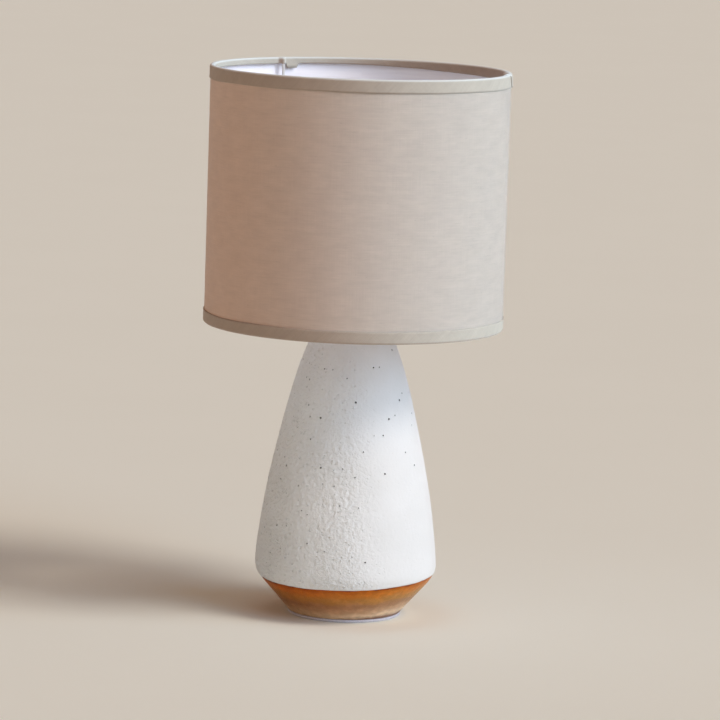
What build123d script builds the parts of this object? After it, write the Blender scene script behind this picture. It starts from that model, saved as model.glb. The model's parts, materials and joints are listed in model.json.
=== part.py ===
from build123d import *

import math
import os

# Table lamp: a glazed ceramic body, an E26 socket with a turn switch, a detachable harp and a
# linen drum shade on a three-arm spider. Millimetres, +Z up, origin on the floor at the centre.
# The switch knob points along -Y and the cord hole along +Y.

# ---- Driving dimensions ----
SHADE_RADIUS = 127.0
SHADE_BOTTOM = 248.0
SHADE_TOP = 465.0
TAPE_THICKNESS = 0.5
TOP_TAPE_WIDTH = 11.0
BOTTOM_TAPE_WIDTH = 10.6
TAPE_FOLD_DEPTH = 7.5
LINEN_THICKNESS = 0.5
LINER_THICKNESS = 0.6
RING_WIRE = 1.3
SPIDER_ANGLES = (4.0, 124.0, 244.0)

PAD_RADIUS = 48.0
PAD_THICKNESS = 2.5
CERAMIC_TOP = 256.0
CERAMIC_TOP_RADIUS = 27.8
CERAMIC_WALL = 6.0
FLOOR_BOTTOM = 24.0
FLOOR_TOP = 30.0
PIPE_HOLE_RADIUS = 6.0

PIPE_RADIUS = 5.1
PIPE_BORE = 3.4
PIPE_BOTTOM = 12.0
PIPE_TOP = 273.0
RUNNING_CLEARANCE = 0.05
PIPE_PASSAGE = PIPE_RADIUS + RUNNING_CLEARANCE

CORD_HOLE_HEIGHT = 14.0
CORD_HOLE_RADIUS = 5.5
CORD_BORE = 3.3

HARP_WIRE = 1.8
HARP_FOOT_X = 31.3
SLEEVE_X = 30.0
SADDLE_TAB_X = 27.1
SADDLE_WIDTH = 5.0
STRAP_THICKNESS = 1.5

KNOB_HEIGHT = 292.0
SHAFT_RADIUS = 2.0

# ---- Heights above the ceramic ----
GASKET_TOP = CERAMIC_TOP + 0.8
VASE_CAP_TOP = 263.0
SPACER_TOP = 266.0
SADDLE_TOP = SPACER_TOP + STRAP_THICKNESS
SOCKET_CAP_TOP = 287.0
CORE_BOTTOM = 284.0
CORE_TOP = 299.0
SOCKET_TOP = 325.0
BULB_BOTTOM = 300.7
BULB_CAP_TOP = 326.0
GLOBE_BOTTOM = 349.0
GLOBE_RADIUS = 24.0
GLOBE_CENTRE = 364.5
HARP_TOP = 428.4
BOSS_BOTTOM = HARP_TOP - 2.0
BOSS_TOP = HARP_TOP + 2.0
SEAT_BOTTOM = BOSS_TOP + 0.1
HUB_BOTTOM = SEAT_BOTTOM + 1.5
HUB_TOP = HUB_BOTTOM + 2 * RING_WIRE
STUD_TOP = 443.0
FINIAL_TOP = HUB_TOP + 20.0

# ---- Radii of the shade's layers, from the outside in ----
LINEN_RADIUS = SHADE_RADIUS - TAPE_THICKNESS
LINER_RADIUS = LINEN_RADIUS - LINEN_THICKNESS
LINER_BORE = LINER_RADIUS - LINER_THICKNESS
RING_GAP = 0.05
RING_RADIUS = LINER_BORE - RING_WIRE - RING_GAP
TAPE_INNER_RADIUS = RING_RADIUS - RING_WIRE - 0.85
SKIN_BOTTOM = SHADE_BOTTOM + TAPE_THICKNESS
SKIN_TOP = SHADE_TOP - TAPE_THICKNESS
TOP_RING_HEIGHT = SKIN_TOP - RING_WIRE - RING_GAP
BOTTOM_RING_HEIGHT = SKIN_BOTTOM + RING_WIRE + RING_GAP
SPIDER_HEIGHT = HUB_BOTTOM + RING_WIRE
ARM_DROP_RADIUS = TAPE_INNER_RADIUS - RING_WIRE - 0.2

# Outline of the ceramic, radius and height: the cone above the foot, the round belly and the long
# taper to the neck.
FOOT_EDGE = (48.0, PAD_THICKNESS)
CONE_POINT = (63.0, 20.0)
BELLY_POINTS = ((75.6, 40.0), (75.9, 58.0))
TAPER_POINTS = ((67.6, 115.0), (51.8, 185.0))
NECK_EDGE = (CERAMIC_TOP_RADIUS, CERAMIC_TOP)
FOOT_TANGENT = (0.62, 0.78)
NECK_TANGENT = (-0.36, 0.93)

os.makedirs("parts", exist_ok=True)


def ring_profile(inner, outer, bottom, top):
    """Face of a plain ring's section, drawn in the current sketch on the XZ plane."""
    with Locations(((inner + outer) / 2, (bottom + top) / 2)):
        Rectangle(outer - inner, top - bottom)


# ---- Ceramic body: a closed shell with a recessed floor ----
RECESS_MOUTH = 42.0
RECESS_LIP = PAD_THICKNESS + 3.0
RECESS_BELLY = (54.0, FLOOR_BOTTOM - 4.0)
RECESS_ROOF = 50.0
INNER_BELLY = (BELLY_POINTS[1][0] - CERAMIC_WALL, BELLY_POINTS[1][1])
with BuildPart() as ceramic_body:
    with BuildSketch(Plane.XZ):
        with BuildLine():
            flank = Spline(
                FOOT_EDGE,
                CONE_POINT,
                *BELLY_POINTS,
                *TAPER_POINTS,
                NECK_EDGE,
                tangents=[FOOT_TANGENT, NECK_TANGENT],
            )
            Polyline(flank @ 1, (0, CERAMIC_TOP), (0, PAD_THICKNESS), flank @ 0)
        make_face()
    revolve(axis=Axis.Z)
    shoulder = ceramic_body.edges().filter_by(GeomType.CIRCLE).sort_by(Axis.Z)[-1]
    fillet(shoulder, radius=2.5)
    foot_rim = ceramic_body.edges().filter_by(GeomType.CIRCLE).sort_by(Axis.Z)[0]
    fillet(foot_rim, radius=1.2)
    with BuildSketch(Plane.XZ):
        with BuildLine():
            inner_flank = Spline(
                (CONE_POINT[0] - CERAMIC_WALL, FLOOR_TOP),
                INNER_BELLY,
                *[(r - CERAMIC_WALL, z) for r, z in TAPER_POINTS],
                (CERAMIC_TOP_RADIUS - CERAMIC_WALL, CERAMIC_TOP - 2 * CERAMIC_WALL),
                tangents=[(1, 0.35), NECK_TANGENT],
            )
            Polyline(
                inner_flank @ 1,
                (PIPE_HOLE_RADIUS, CERAMIC_TOP - CERAMIC_WALL),
                (0, CERAMIC_TOP - CERAMIC_WALL),
                (0, FLOOR_TOP),
                inner_flank @ 0,
            )
        make_face()
    revolve(axis=Axis.Z, mode=Mode.SUBTRACT)
    with BuildSketch(Plane.XZ):
        Polygon(
            (0, 0),
            (RECESS_MOUTH, 0),
            (RECESS_MOUTH, RECESS_LIP),
            RECESS_BELLY,
            (RECESS_ROOF, FLOOR_BOTTOM),
            (0, FLOOR_BOTTOM),
            align=None,
        )
    revolve(axis=Axis.Z, mode=Mode.SUBTRACT)
    with BuildSketch(Plane.XY):
        Circle(PIPE_HOLE_RADIUS)
    extrude(amount=CERAMIC_TOP, mode=Mode.SUBTRACT)
    with BuildSketch(Plane.XZ):
        with Locations((0, CORD_HOLE_HEIGHT)):
            Circle(CORD_HOLE_RADIUS)
    extrude(amount=-BELLY_POINTS[0][0], mode=Mode.SUBTRACT)
ceramic_body.part.label = "ceramic_body"
export_step(ceramic_body.part, "parts/ceramic_body.step")

# ---- Foot pad ----
with BuildPart() as foot_pad:
    with BuildSketch():
        Circle(PAD_RADIUS)
    extrude(amount=PAD_THICKNESS)
    fillet(foot_pad.edges(), radius=0.5)
foot_pad.part.label = "foot_pad"
export_step(foot_pad.part, "parts/foot_pad.step")

# ---- Cord bushing: a sleeve through the wall, its outer rim trimmed to the slope of the cone ----
RIM_THICKNESS = 1.5
CONE_SLOPE = (CONE_POINT[0] - FOOT_EDGE[0]) / (CONE_POINT[1] - FOOT_EDGE[1])
BUSHING_INNER_END = 43.0
RIM_INNER_END = BUSHING_INNER_END + 8.0
BUSHING_REACH = BELLY_POINTS[0][0]
ENVELOPE_RISE = 10.0
with BuildPart() as cord_bushing:
    with BuildSketch(Plane.XZ.offset(-BUSHING_INNER_END)):
        with Locations((0, CORD_HOLE_HEIGHT)):
            Circle(CORD_HOLE_RADIUS - RUNNING_CLEARANCE)
    extrude(amount=BUSHING_INNER_END - BUSHING_REACH)
    with BuildSketch(Plane.XZ.offset(-RIM_INNER_END)):
        with Locations((0, CORD_HOLE_HEIGHT)):
            Circle(CORD_HOLE_RADIUS + 2.0)
    extrude(amount=RIM_INNER_END - BUSHING_REACH)
    with BuildSketch(Plane.XZ):
        with BuildLine():
            Polyline(
                (FOOT_EDGE[0] + RIM_THICKNESS, 0),
                (FOOT_EDGE[0] + RIM_THICKNESS, FOOT_EDGE[1]),
                (
                    CONE_POINT[0] + RIM_THICKNESS + CONE_SLOPE * ENVELOPE_RISE,
                    CONE_POINT[1] + ENVELOPE_RISE,
                ),
                (0, CONE_POINT[1] + ENVELOPE_RISE),
                (0, 0),
                close=True,
            )
        make_face()
    revolve(axis=Axis.Z, mode=Mode.INTERSECT)
    with BuildSketch(Plane.XZ):
        with Locations((0, CORD_HOLE_HEIGHT)):
            Circle(CORD_BORE)
    extrude(amount=-BUSHING_REACH, mode=Mode.SUBTRACT)
    add(ceramic_body.part, mode=Mode.SUBTRACT)
cord_bushing.part.label = "cord_bushing"
export_step(cord_bushing.part, "parts/cord_bushing.step")

# ---- Threaded pipe through the body, and the hardware that clamps it under the floor ----
with BuildPart() as threaded_pipe:
    with BuildSketch(Plane.XY.offset(PIPE_BOTTOM)):
        Circle(PIPE_RADIUS)
        Circle(PIPE_BORE, mode=Mode.SUBTRACT)
    extrude(amount=PIPE_TOP - PIPE_BOTTOM)
    rims = threaded_pipe.faces().filter_by(Axis.Z).edges()
    chamfer(rims.sort_by(SortBy.RADIUS)[-2:], 0.5)
threaded_pipe.part.label = "threaded_pipe"
export_step(threaded_pipe.part, "parts/threaded_pipe.step")

END_BUSHING_BORE = 2.5
END_BUSHING_BOTTOM = PIPE_BOTTOM - 1.5
with BuildPart() as pipe_end_bushing:
    with BuildSketch(Plane.XZ):
        ring_profile(END_BUSHING_BORE, PIPE_RADIUS, END_BUSHING_BOTTOM, PIPE_BOTTOM)
        ring_profile(
            END_BUSHING_BORE, PIPE_BORE - RUNNING_CLEARANCE, END_BUSHING_BOTTOM, PIPE_BOTTOM + 6.0
        )
    revolve(axis=Axis.Z)
    fillet(pipe_end_bushing.edges().filter_by(GeomType.CIRCLE).sort_by(Axis.Z)[:2], 0.4)
pipe_end_bushing.part.label = "pipe_end_bushing"
export_step(pipe_end_bushing.part, "parts/pipe_end_bushing.step")

WASHER_RADIUS = 16.0
WASHER_BOTTOM = FLOOR_BOTTOM - 1.6
LOCK_WASHER_RADIUS = 9.0
LOCK_WASHER_BOTTOM = WASHER_BOTTOM - 1.4
LOCK_NOTCH = (2.6, 1.6)
LOCK_TEETH = 12
NUT_HEIGHT = 4.8
NUT_ACROSS_FLATS = 15.0

with BuildPart() as bottom_washer:
    with BuildSketch(Plane.XY.offset(WASHER_BOTTOM)):
        Circle(WASHER_RADIUS)
        Circle(PIPE_PASSAGE, mode=Mode.SUBTRACT)
    extrude(amount=FLOOR_BOTTOM - WASHER_BOTTOM)
    fillet(bottom_washer.edges().filter_by(GeomType.CIRCLE).sort_by(SortBy.RADIUS)[-2:], 0.3)
bottom_washer.part.label = "bottom_washer"
export_step(bottom_washer.part, "parts/bottom_washer.step")

with BuildPart() as bottom_lock_washer:
    with BuildSketch(Plane.XY.offset(LOCK_WASHER_BOTTOM)):
        Circle(LOCK_WASHER_RADIUS)
        with PolarLocations(LOCK_WASHER_RADIUS, LOCK_TEETH):
            Rectangle(*LOCK_NOTCH, mode=Mode.SUBTRACT)
        Circle(PIPE_PASSAGE, mode=Mode.SUBTRACT)
    extrude(amount=WASHER_BOTTOM - LOCK_WASHER_BOTTOM)
bottom_lock_washer.part.label = "bottom_lock_washer"
export_step(bottom_lock_washer.part, "parts/bottom_lock_washer.step")

with BuildPart() as bottom_hex_nut:
    with BuildSketch(Plane.XY.offset(LOCK_WASHER_BOTTOM - NUT_HEIGHT)):
        RegularPolygon(NUT_ACROSS_FLATS / 2, 6, major_radius=False)
        Circle(PIPE_PASSAGE, mode=Mode.SUBTRACT)
    extrude(amount=NUT_HEIGHT)
    corners = bottom_hex_nut.edges().filter_by(GeomType.LINE)
    chamfer(corners.filter_by(Axis.Z, reverse=True), 0.5)
bottom_hex_nut.part.label = "bottom_hex_nut"
export_step(bottom_hex_nut.part, "parts/bottom_hex_nut.step")

# ---- Stack on the ceramic: gasket, vase cap, spacer ----
GASKET_BORE = 18.0
GASKET_RADIUS = 24.0
with BuildPart() as neck_gasket:
    with BuildSketch(Plane.XZ):
        ring_profile(GASKET_BORE, GASKET_RADIUS, CERAMIC_TOP, GASKET_TOP)
    revolve(axis=Axis.Z)
neck_gasket.part.label = "neck_gasket"
export_step(neck_gasket.part, "parts/neck_gasket.step")

VASE_CAP_RADIUS = 24.5
VASE_CAP_SHEET = 1.0
VASE_CAP_CROWN = 12.0
with BuildPart() as vase_cap:
    with BuildSketch(Plane.XZ):
        with BuildLine():
            cap_top = ThreePointArc(
                (VASE_CAP_RADIUS, GASKET_TOP + VASE_CAP_SHEET),
                (19.0, VASE_CAP_TOP - 2.4),
                (VASE_CAP_CROWN, VASE_CAP_TOP),
            )
            cap_under = ThreePointArc(
                (VASE_CAP_CROWN - 0.4, VASE_CAP_TOP - VASE_CAP_SHEET),
                (18.2, VASE_CAP_TOP - 3.4),
                (VASE_CAP_RADIUS - 1.1, GASKET_TOP),
            )
            Polyline(
                cap_top @ 1,
                (PIPE_PASSAGE, VASE_CAP_TOP),
                (PIPE_PASSAGE, VASE_CAP_TOP - VASE_CAP_SHEET),
                cap_under @ 0,
            )
            Polyline(cap_under @ 1, (VASE_CAP_RADIUS, GASKET_TOP), cap_top @ 0)
        make_face()
    revolve(axis=Axis.Z)
vase_cap.part.label = "vase_cap"
export_step(vase_cap.part, "parts/vase_cap.step")

SPACER_RADIUS = 9.5
with BuildPart() as neck_spacer:
    with BuildSketch(Plane.XZ):
        ring_profile(PIPE_PASSAGE, SPACER_RADIUS, VASE_CAP_TOP, SPACER_TOP)
    revolve(axis=Axis.Z)
    fillet(neck_spacer.edges().filter_by(GeomType.CIRCLE).sort_by(SortBy.RADIUS)[-2:], 0.8)
neck_spacer.part.label = "neck_spacer"
export_step(neck_spacer.part, "parts/neck_spacer.step")

# ---- Harp saddle: a bent strap with an upright tab at each end ----
SADDLE_TAB_TOP = 281.0
SADDLE_EYE = 11.0
with BuildPart() as harp_saddle:
    with BuildSketch(Plane.XY.offset(SPACER_TOP)):
        Circle(SADDLE_EYE)
        Rectangle(2 * (SADDLE_TAB_X + STRAP_THICKNESS), SADDLE_WIDTH)
        Circle(PIPE_PASSAGE, mode=Mode.SUBTRACT)
    extrude(amount=STRAP_THICKNESS)
    with BuildSketch(Plane.XZ.offset(-SADDLE_WIDTH / 2)):
        for side in (-1, 1):
            with Locations((side * (SADDLE_TAB_X + STRAP_THICKNESS / 2), SPACER_TOP)):
                Rectangle(STRAP_THICKNESS, SADDLE_TAB_TOP - SPACER_TOP, align=(Align.CENTER, Align.MIN))
    extrude(amount=SADDLE_WIDTH)
    bends = harp_saddle.edges().filter_by(Axis.Y).group_by(Axis.Z)[0]
    fillet(bends, 1.2)
harp_saddle.part.label = "harp_saddle"
export_step(harp_saddle.part, "parts/harp_saddle.step")

# ---- Socket: cap, set screw, shell, insulator, core, screw shell, contact, terminal screws ----
CAP_RADIUS = 17.6
CAP_BORE = 16.9
CAP_NECK_RADIUS = 8.0
CAP_NECK_TOP = 273.5
CAP_INNER_FLOOR = CAP_NECK_TOP + 0.8
CAP_FLARE_TOP = 281.5
SET_SCREW_HEIGHT = 270.4
SET_SCREW_RADIUS = 1.2
with BuildPart() as socket_cap:
    with BuildSketch(Plane.XZ):
        with BuildLine():
            flare = ThreePointArc(
                (CAP_NECK_RADIUS, CAP_NECK_TOP), (14.0, CAP_NECK_TOP + 2.9), (CAP_RADIUS, CAP_FLARE_TOP)
            )
            inner_flare = ThreePointArc(
                (CAP_BORE, CAP_FLARE_TOP + 0.5),
                (13.5, CAP_NECK_TOP + 3.9),
                (CAP_NECK_RADIUS - 0.6, CAP_INNER_FLOOR),
            )
            Polyline(
                inner_flare @ 1,
                (PIPE_PASSAGE, CAP_INNER_FLOOR),
                (PIPE_PASSAGE, SADDLE_TOP),
                (CAP_NECK_RADIUS, SADDLE_TOP),
                flare @ 0,
            )
            Polyline(
                flare @ 1,
                (CAP_RADIUS, SOCKET_CAP_TOP),
                (CAP_BORE, SOCKET_CAP_TOP),
                inner_flare @ 0,
            )
        make_face()
    revolve(axis=Axis.Z)
    with BuildSketch(Plane.YZ):
        with Locations((0, SET_SCREW_HEIGHT)):
            Circle(SET_SCREW_RADIUS + RUNNING_CLEARANCE)
    extrude(amount=-CAP_NECK_RADIUS, mode=Mode.SUBTRACT)
socket_cap.part.label = "socket_cap"
export_step(socket_cap.part, "parts/socket_cap.step")

SCREW_HEAD_BACK = CAP_NECK_RADIUS + 0.3
SCREW_HEAD_FACE = SCREW_HEAD_BACK + 1.4
SCREW_HEAD_RADIUS = 2.1
SCREW_SLOT = (5.0, 0.6)
SCREW_SLOT_DEPTH = 0.7
with BuildPart() as socket_set_screw:
    with BuildSketch(Plane.YZ.offset(-PIPE_PASSAGE)):
        with Locations((0, SET_SCREW_HEIGHT)):
            Circle(SET_SCREW_RADIUS)
    extrude(amount=PIPE_PASSAGE - SCREW_HEAD_BACK)
    with BuildSketch(Plane.YZ.offset(-SCREW_HEAD_BACK)):
        with Locations((0, SET_SCREW_HEIGHT)):
            Circle(SCREW_HEAD_RADIUS)
    extrude(amount=SCREW_HEAD_BACK - SCREW_HEAD_FACE)
    with BuildSketch(Plane.YZ.offset(-SCREW_HEAD_FACE)):
        with Locations((0, SET_SCREW_HEIGHT)):
            Rectangle(*SCREW_SLOT)
    extrude(amount=SCREW_SLOT_DEPTH, mode=Mode.SUBTRACT)
socket_set_screw.part.label = "socket_set_screw"
export_step(socket_set_screw.part, "parts/socket_set_screw.step")

SHELL_RADIUS = 16.85
SHELL_BORE = 16.25
SHELL_BOTTOM = CORE_BOTTOM - 1.4
SHAFT_WINDOW = 3.0
SHELL_BEAD = (0.7, SOCKET_CAP_TOP + 0.1, SOCKET_CAP_TOP + 1.3)
SHELL_LIP = (0.5, SOCKET_TOP - 1.2, SOCKET_TOP)
with BuildPart() as socket_shell:
    with BuildSketch(Plane.XZ):
        ring_profile(SHELL_BORE, SHELL_RADIUS, SHELL_BOTTOM, SOCKET_TOP)
        for swell, bottom, top in (SHELL_BEAD, SHELL_LIP):
            ring_profile(SHELL_RADIUS, SHELL_RADIUS + swell, bottom, top)
    revolve(axis=Axis.Z)
    with BuildSketch(Plane.XZ):
        with Locations((0, KNOB_HEIGHT)):
            Circle(SHAFT_WINDOW)
    extrude(amount=CAP_RADIUS, mode=Mode.SUBTRACT)
socket_shell.part.label = "socket_shell"
export_step(socket_shell.part, "parts/socket_shell.step")

SLEEVE_BORE = 15.55
with BuildPart() as socket_insulator_sleeve:
    with BuildSketch(Plane.XZ):
        ring_profile(SLEEVE_BORE, SHELL_BORE - RUNNING_CLEARANCE, CORE_BOTTOM - 1.0, SOCKET_TOP - 0.5)
    revolve(axis=Axis.Z)
    with BuildSketch(Plane.XZ):
        with Locations((0, KNOB_HEIGHT)):
            Circle(SHAFT_WINDOW)
    extrude(amount=CAP_RADIUS, mode=Mode.SUBTRACT)
socket_insulator_sleeve.part.label = "socket_insulator_sleeve"
export_step(socket_insulator_sleeve.part, "parts/socket_insulator_sleeve.step")

CORE_RADIUS = SLEEVE_BORE - 0.1
CORE_FLANGE = 3.0
TERMINAL_FLAT = 11.6
FLAT_CUT = CORE_RADIUS - TERMINAL_FLAT
SHAFT_INNER_END = 3.0
with BuildPart() as socket_core:
    with BuildSketch(Plane.XY.offset(CORE_BOTTOM)):
        Circle(CORE_RADIUS)
    extrude(amount=CORE_TOP - CORE_BOTTOM)
    with BuildSketch(Plane.XY.offset(CORE_BOTTOM)):
        with Locations((TERMINAL_FLAT + FLAT_CUT, 0), (-TERMINAL_FLAT - FLAT_CUT, 0)):
            Rectangle(2 * FLAT_CUT, 2 * CORE_RADIUS)
    extrude(amount=CORE_TOP - CORE_FLANGE - CORE_BOTTOM, mode=Mode.SUBTRACT)
    with BuildSketch(Plane.XZ.offset(-SHAFT_INNER_END)):
        with Locations((0, KNOB_HEIGHT)):
            Circle(SHAFT_RADIUS + RUNNING_CLEARANCE)
    extrude(amount=SHAFT_INNER_END + CAP_RADIUS, mode=Mode.SUBTRACT)
socket_core.part.label = "socket_core"
export_step(socket_core.part, "parts/socket_core.step")

SCREW_SHELL_BORE = 13.3
SCREW_SHELL_SHEET = 0.6
CONTACT_WINDOW = 6.0
with BuildPart() as socket_screw_shell:
    with BuildSketch(Plane.XZ):
        shell_outside = SCREW_SHELL_BORE + SCREW_SHELL_SHEET
        ring_profile(SCREW_SHELL_BORE, shell_outside, CORE_TOP, SOCKET_TOP - 2.0)
        ring_profile(CONTACT_WINDOW, shell_outside, CORE_TOP, CORE_TOP + SCREW_SHELL_SHEET)
    revolve(axis=Axis.Z)
socket_screw_shell.part.label = "socket_screw_shell"
export_step(socket_screw_shell.part, "parts/socket_screw_shell.step")

CONTACT_TAB = (9.0, 5.0)
CONTACT_SHEET = 0.6
CONTACT_BUTTON = 2.2
CONTACT_TOP = BULB_BOTTOM - 0.1
with BuildPart() as socket_center_contact:
    with BuildSketch(Plane.XY.offset(CORE_TOP)):
        SlotOverall(*CONTACT_TAB)
    extrude(amount=CONTACT_SHEET)
    with BuildSketch(Plane.XY.offset(CORE_TOP + CONTACT_SHEET)):
        Circle(CONTACT_BUTTON)
    extrude(amount=CONTACT_TOP - CORE_TOP - CONTACT_SHEET)
socket_center_contact.part.label = "socket_center_contact"
export_step(socket_center_contact.part, "parts/socket_center_contact.step")

TERMINAL_HEIGHT = KNOB_HEIGHT - 2.0
TERMINAL_HEAD = 3.0
TERMINAL_HEAD_HEIGHT = 1.8
TERMINAL_SLOT = (7.0, 0.8)
with BuildPart() as terminal_screws:
    for side in (-1, 1):
        with BuildSketch(Plane.YZ.offset(side * TERMINAL_FLAT)):
            with Locations((0, TERMINAL_HEIGHT)):
                Circle(TERMINAL_HEAD)
        extrude(amount=side * TERMINAL_HEAD_HEIGHT)
        with BuildSketch(Plane.YZ.offset(side * (TERMINAL_FLAT + TERMINAL_HEAD_HEIGHT))):
            with Locations((0, TERMINAL_HEIGHT)):
                Rectangle(*TERMINAL_SLOT)
        extrude(amount=-side * SCREW_SLOT_DEPTH, mode=Mode.SUBTRACT)
terminal_screws.part.label = "terminal_screws"
export_step(terminal_screws.part, "parts/terminal_screws.step")

# ---- Turn switch: fluted knob on a shaft along -Y ----
KNOB_RADIUS = 5.6
KNOB_BASE = 19.0
KNOB_LENGTH = 14.0
KNOB_FLUTES = 10
FLUTE_RADIUS = 1.1
SHAFT_END = KNOB_BASE + 9.0
SHAFT_PLANE = Plane(origin=(0, 0, KNOB_HEIGHT), x_dir=(1, 0, 0), z_dir=(0, -1, 0))

with BuildPart() as switch_shaft:
    with BuildSketch(SHAFT_PLANE.offset(-SHAFT_INNER_END)):
        Circle(SHAFT_RADIUS)
    extrude(amount=SHAFT_END + SHAFT_INNER_END)
    with BuildSketch(SHAFT_PLANE.offset(KNOB_BASE)):
        with Locations((0, SHAFT_RADIUS)):
            Rectangle(2 * SHAFT_RADIUS, SHAFT_RADIUS)
    extrude(amount=KNOB_LENGTH, mode=Mode.SUBTRACT)
switch_shaft.part.label = "switch_shaft"
export_step(switch_shaft.part, "parts/switch_shaft.step")

with BuildPart() as switch_knob:
    with BuildSketch(SHAFT_PLANE.offset(KNOB_BASE)):
        Circle(KNOB_RADIUS)
        with PolarLocations(KNOB_RADIUS + FLUTE_RADIUS / 2, KNOB_FLUTES):
            Circle(FLUTE_RADIUS, mode=Mode.SUBTRACT)
    extrude(amount=KNOB_LENGTH, taper=3)
    fillet(switch_knob.faces().sort_by(Axis.Y)[0].edges(), 0.4)
    add(switch_shaft.part, mode=Mode.SUBTRACT)
switch_knob.part.label = "switch_knob"
export_step(switch_knob.part, "parts/switch_knob.step")

# ---- A15 LED bulb ----
COLLAR_TOP_RADIUS = 19.5
BULB_CAP_RADIUS = 12.7
BULB_CAP_SHEET = 0.5
BULB_WALL = 1.2
CONTACT_RADIUS = 4.8
INSULATOR_BOTTOM = BULB_BOTTOM + 2.5
INSULATOR_TOP = BULB_BOTTOM + 7.0
with BuildPart() as bulb_contact:
    with BuildSketch(Plane.XZ):
        with BuildLine():
            Polyline((0, INSULATOR_BOTTOM), (0, BULB_BOTTOM), (1.5, BULB_BOTTOM))
            ThreePointArc(
                (1.5, BULB_BOTTOM), (3.8, BULB_BOTTOM + 0.6), (CONTACT_RADIUS, INSULATOR_BOTTOM)
            )
            Line((CONTACT_RADIUS, INSULATOR_BOTTOM), (0, INSULATOR_BOTTOM))
        make_face()
    revolve(axis=Axis.Z)
bulb_contact.part.label = "bulb_contact"
export_step(bulb_contact.part, "parts/bulb_contact.step")

with BuildPart() as bulb_insulator:
    with BuildSketch(Plane.XZ):
        Polygon(
            (0, INSULATOR_BOTTOM),
            (CONTACT_RADIUS + 0.8, INSULATOR_BOTTOM),
            (BULB_CAP_RADIUS - BULB_CAP_SHEET, INSULATOR_TOP - 1.0),
            (BULB_CAP_RADIUS - BULB_CAP_SHEET, INSULATOR_TOP),
            (0, INSULATOR_TOP),
            align=None,
        )
    revolve(axis=Axis.Z)
bulb_insulator.part.label = "bulb_insulator"
export_step(bulb_insulator.part, "parts/bulb_insulator.step")

with BuildPart() as bulb_screw_cap:
    with BuildSketch(Plane.XZ):
        ring_profile(
            BULB_CAP_RADIUS - BULB_CAP_SHEET, BULB_CAP_RADIUS, INSULATOR_TOP - 1.4, BULB_CAP_TOP
        )
    revolve(axis=Axis.Z)
bulb_screw_cap.part.label = "bulb_screw_cap"
export_step(bulb_screw_cap.part, "parts/bulb_screw_cap.step")

COLLAR_WAIST = (15.3, 338.0)
with BuildPart() as bulb_collar:
    with BuildSketch(Plane.XZ):
        with BuildLine():
            collar_outside = ThreePointArc(
                (BULB_CAP_RADIUS, BULB_CAP_TOP), COLLAR_WAIST, (COLLAR_TOP_RADIUS, GLOBE_BOTTOM)
            )
            collar_inside = ThreePointArc(
                (COLLAR_TOP_RADIUS - BULB_WALL, GLOBE_BOTTOM),
                (COLLAR_WAIST[0] - BULB_WALL, COLLAR_WAIST[1]),
                (BULB_CAP_RADIUS - BULB_WALL, BULB_CAP_TOP),
            )
            Line(collar_outside @ 1, collar_inside @ 0)
            Line(collar_inside @ 1, collar_outside @ 0)
        make_face()
    revolve(axis=Axis.Z)
bulb_collar.part.label = "bulb_collar"
export_step(bulb_collar.part, "parts/bulb_collar.step")

BOARD_RADIUS = 17.0
BOARD_THICKNESS = 1.6
BOARD_TOP = GLOBE_BOTTOM - 1.0
WIRE_HOLE_X = 5.0
WIRE_HOLE_RADIUS = 0.8
LED_COUNT = 8
LED_CIRCLE = 11.0
LED_SIZE = (2.8, 3.5)
LED_HEIGHT = 0.8
with BuildPart() as bulb_led_board:
    with BuildSketch(Plane.XY.offset(BOARD_TOP - BOARD_THICKNESS)):
        Circle(BOARD_RADIUS)
        with Locations((WIRE_HOLE_X, 0), (-WIRE_HOLE_X, 0)):
            Circle(WIRE_HOLE_RADIUS, mode=Mode.SUBTRACT)
    extrude(amount=BOARD_THICKNESS)
    with BuildSketch(Plane.XY.offset(BOARD_TOP)):
        with PolarLocations(LED_CIRCLE, LED_COUNT):
            Rectangle(*LED_SIZE)
    extrude(amount=LED_HEIGHT)
bulb_led_board.part.label = "bulb_led_board"
export_step(bulb_led_board.part, "parts/bulb_led_board.step")

with BuildPart() as bulb_globe:
    with BuildSketch(Plane.XZ):
        for wall, mode in ((0, Mode.ADD), (BULB_WALL, Mode.SUBTRACT)):
            with BuildLine():
                belly = (GLOBE_RADIUS - wall, GLOBE_CENTRE)
                foot = (COLLAR_TOP_RADIUS - wall, GLOBE_BOTTOM)
                lower = TangentArc(belly, foot, tangent=(0, -1))
                crown = RadiusArc(belly, (0, GLOBE_CENTRE + GLOBE_RADIUS - wall), -GLOBE_RADIUS + wall)
                Polyline(crown @ 1, (0, GLOBE_BOTTOM), lower @ 1)
            make_face(mode=mode)
    revolve(axis=Axis.Z)
bulb_globe.part.label = "bulb_globe"
export_step(bulb_globe.part, "parts/bulb_globe.step")

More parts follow.
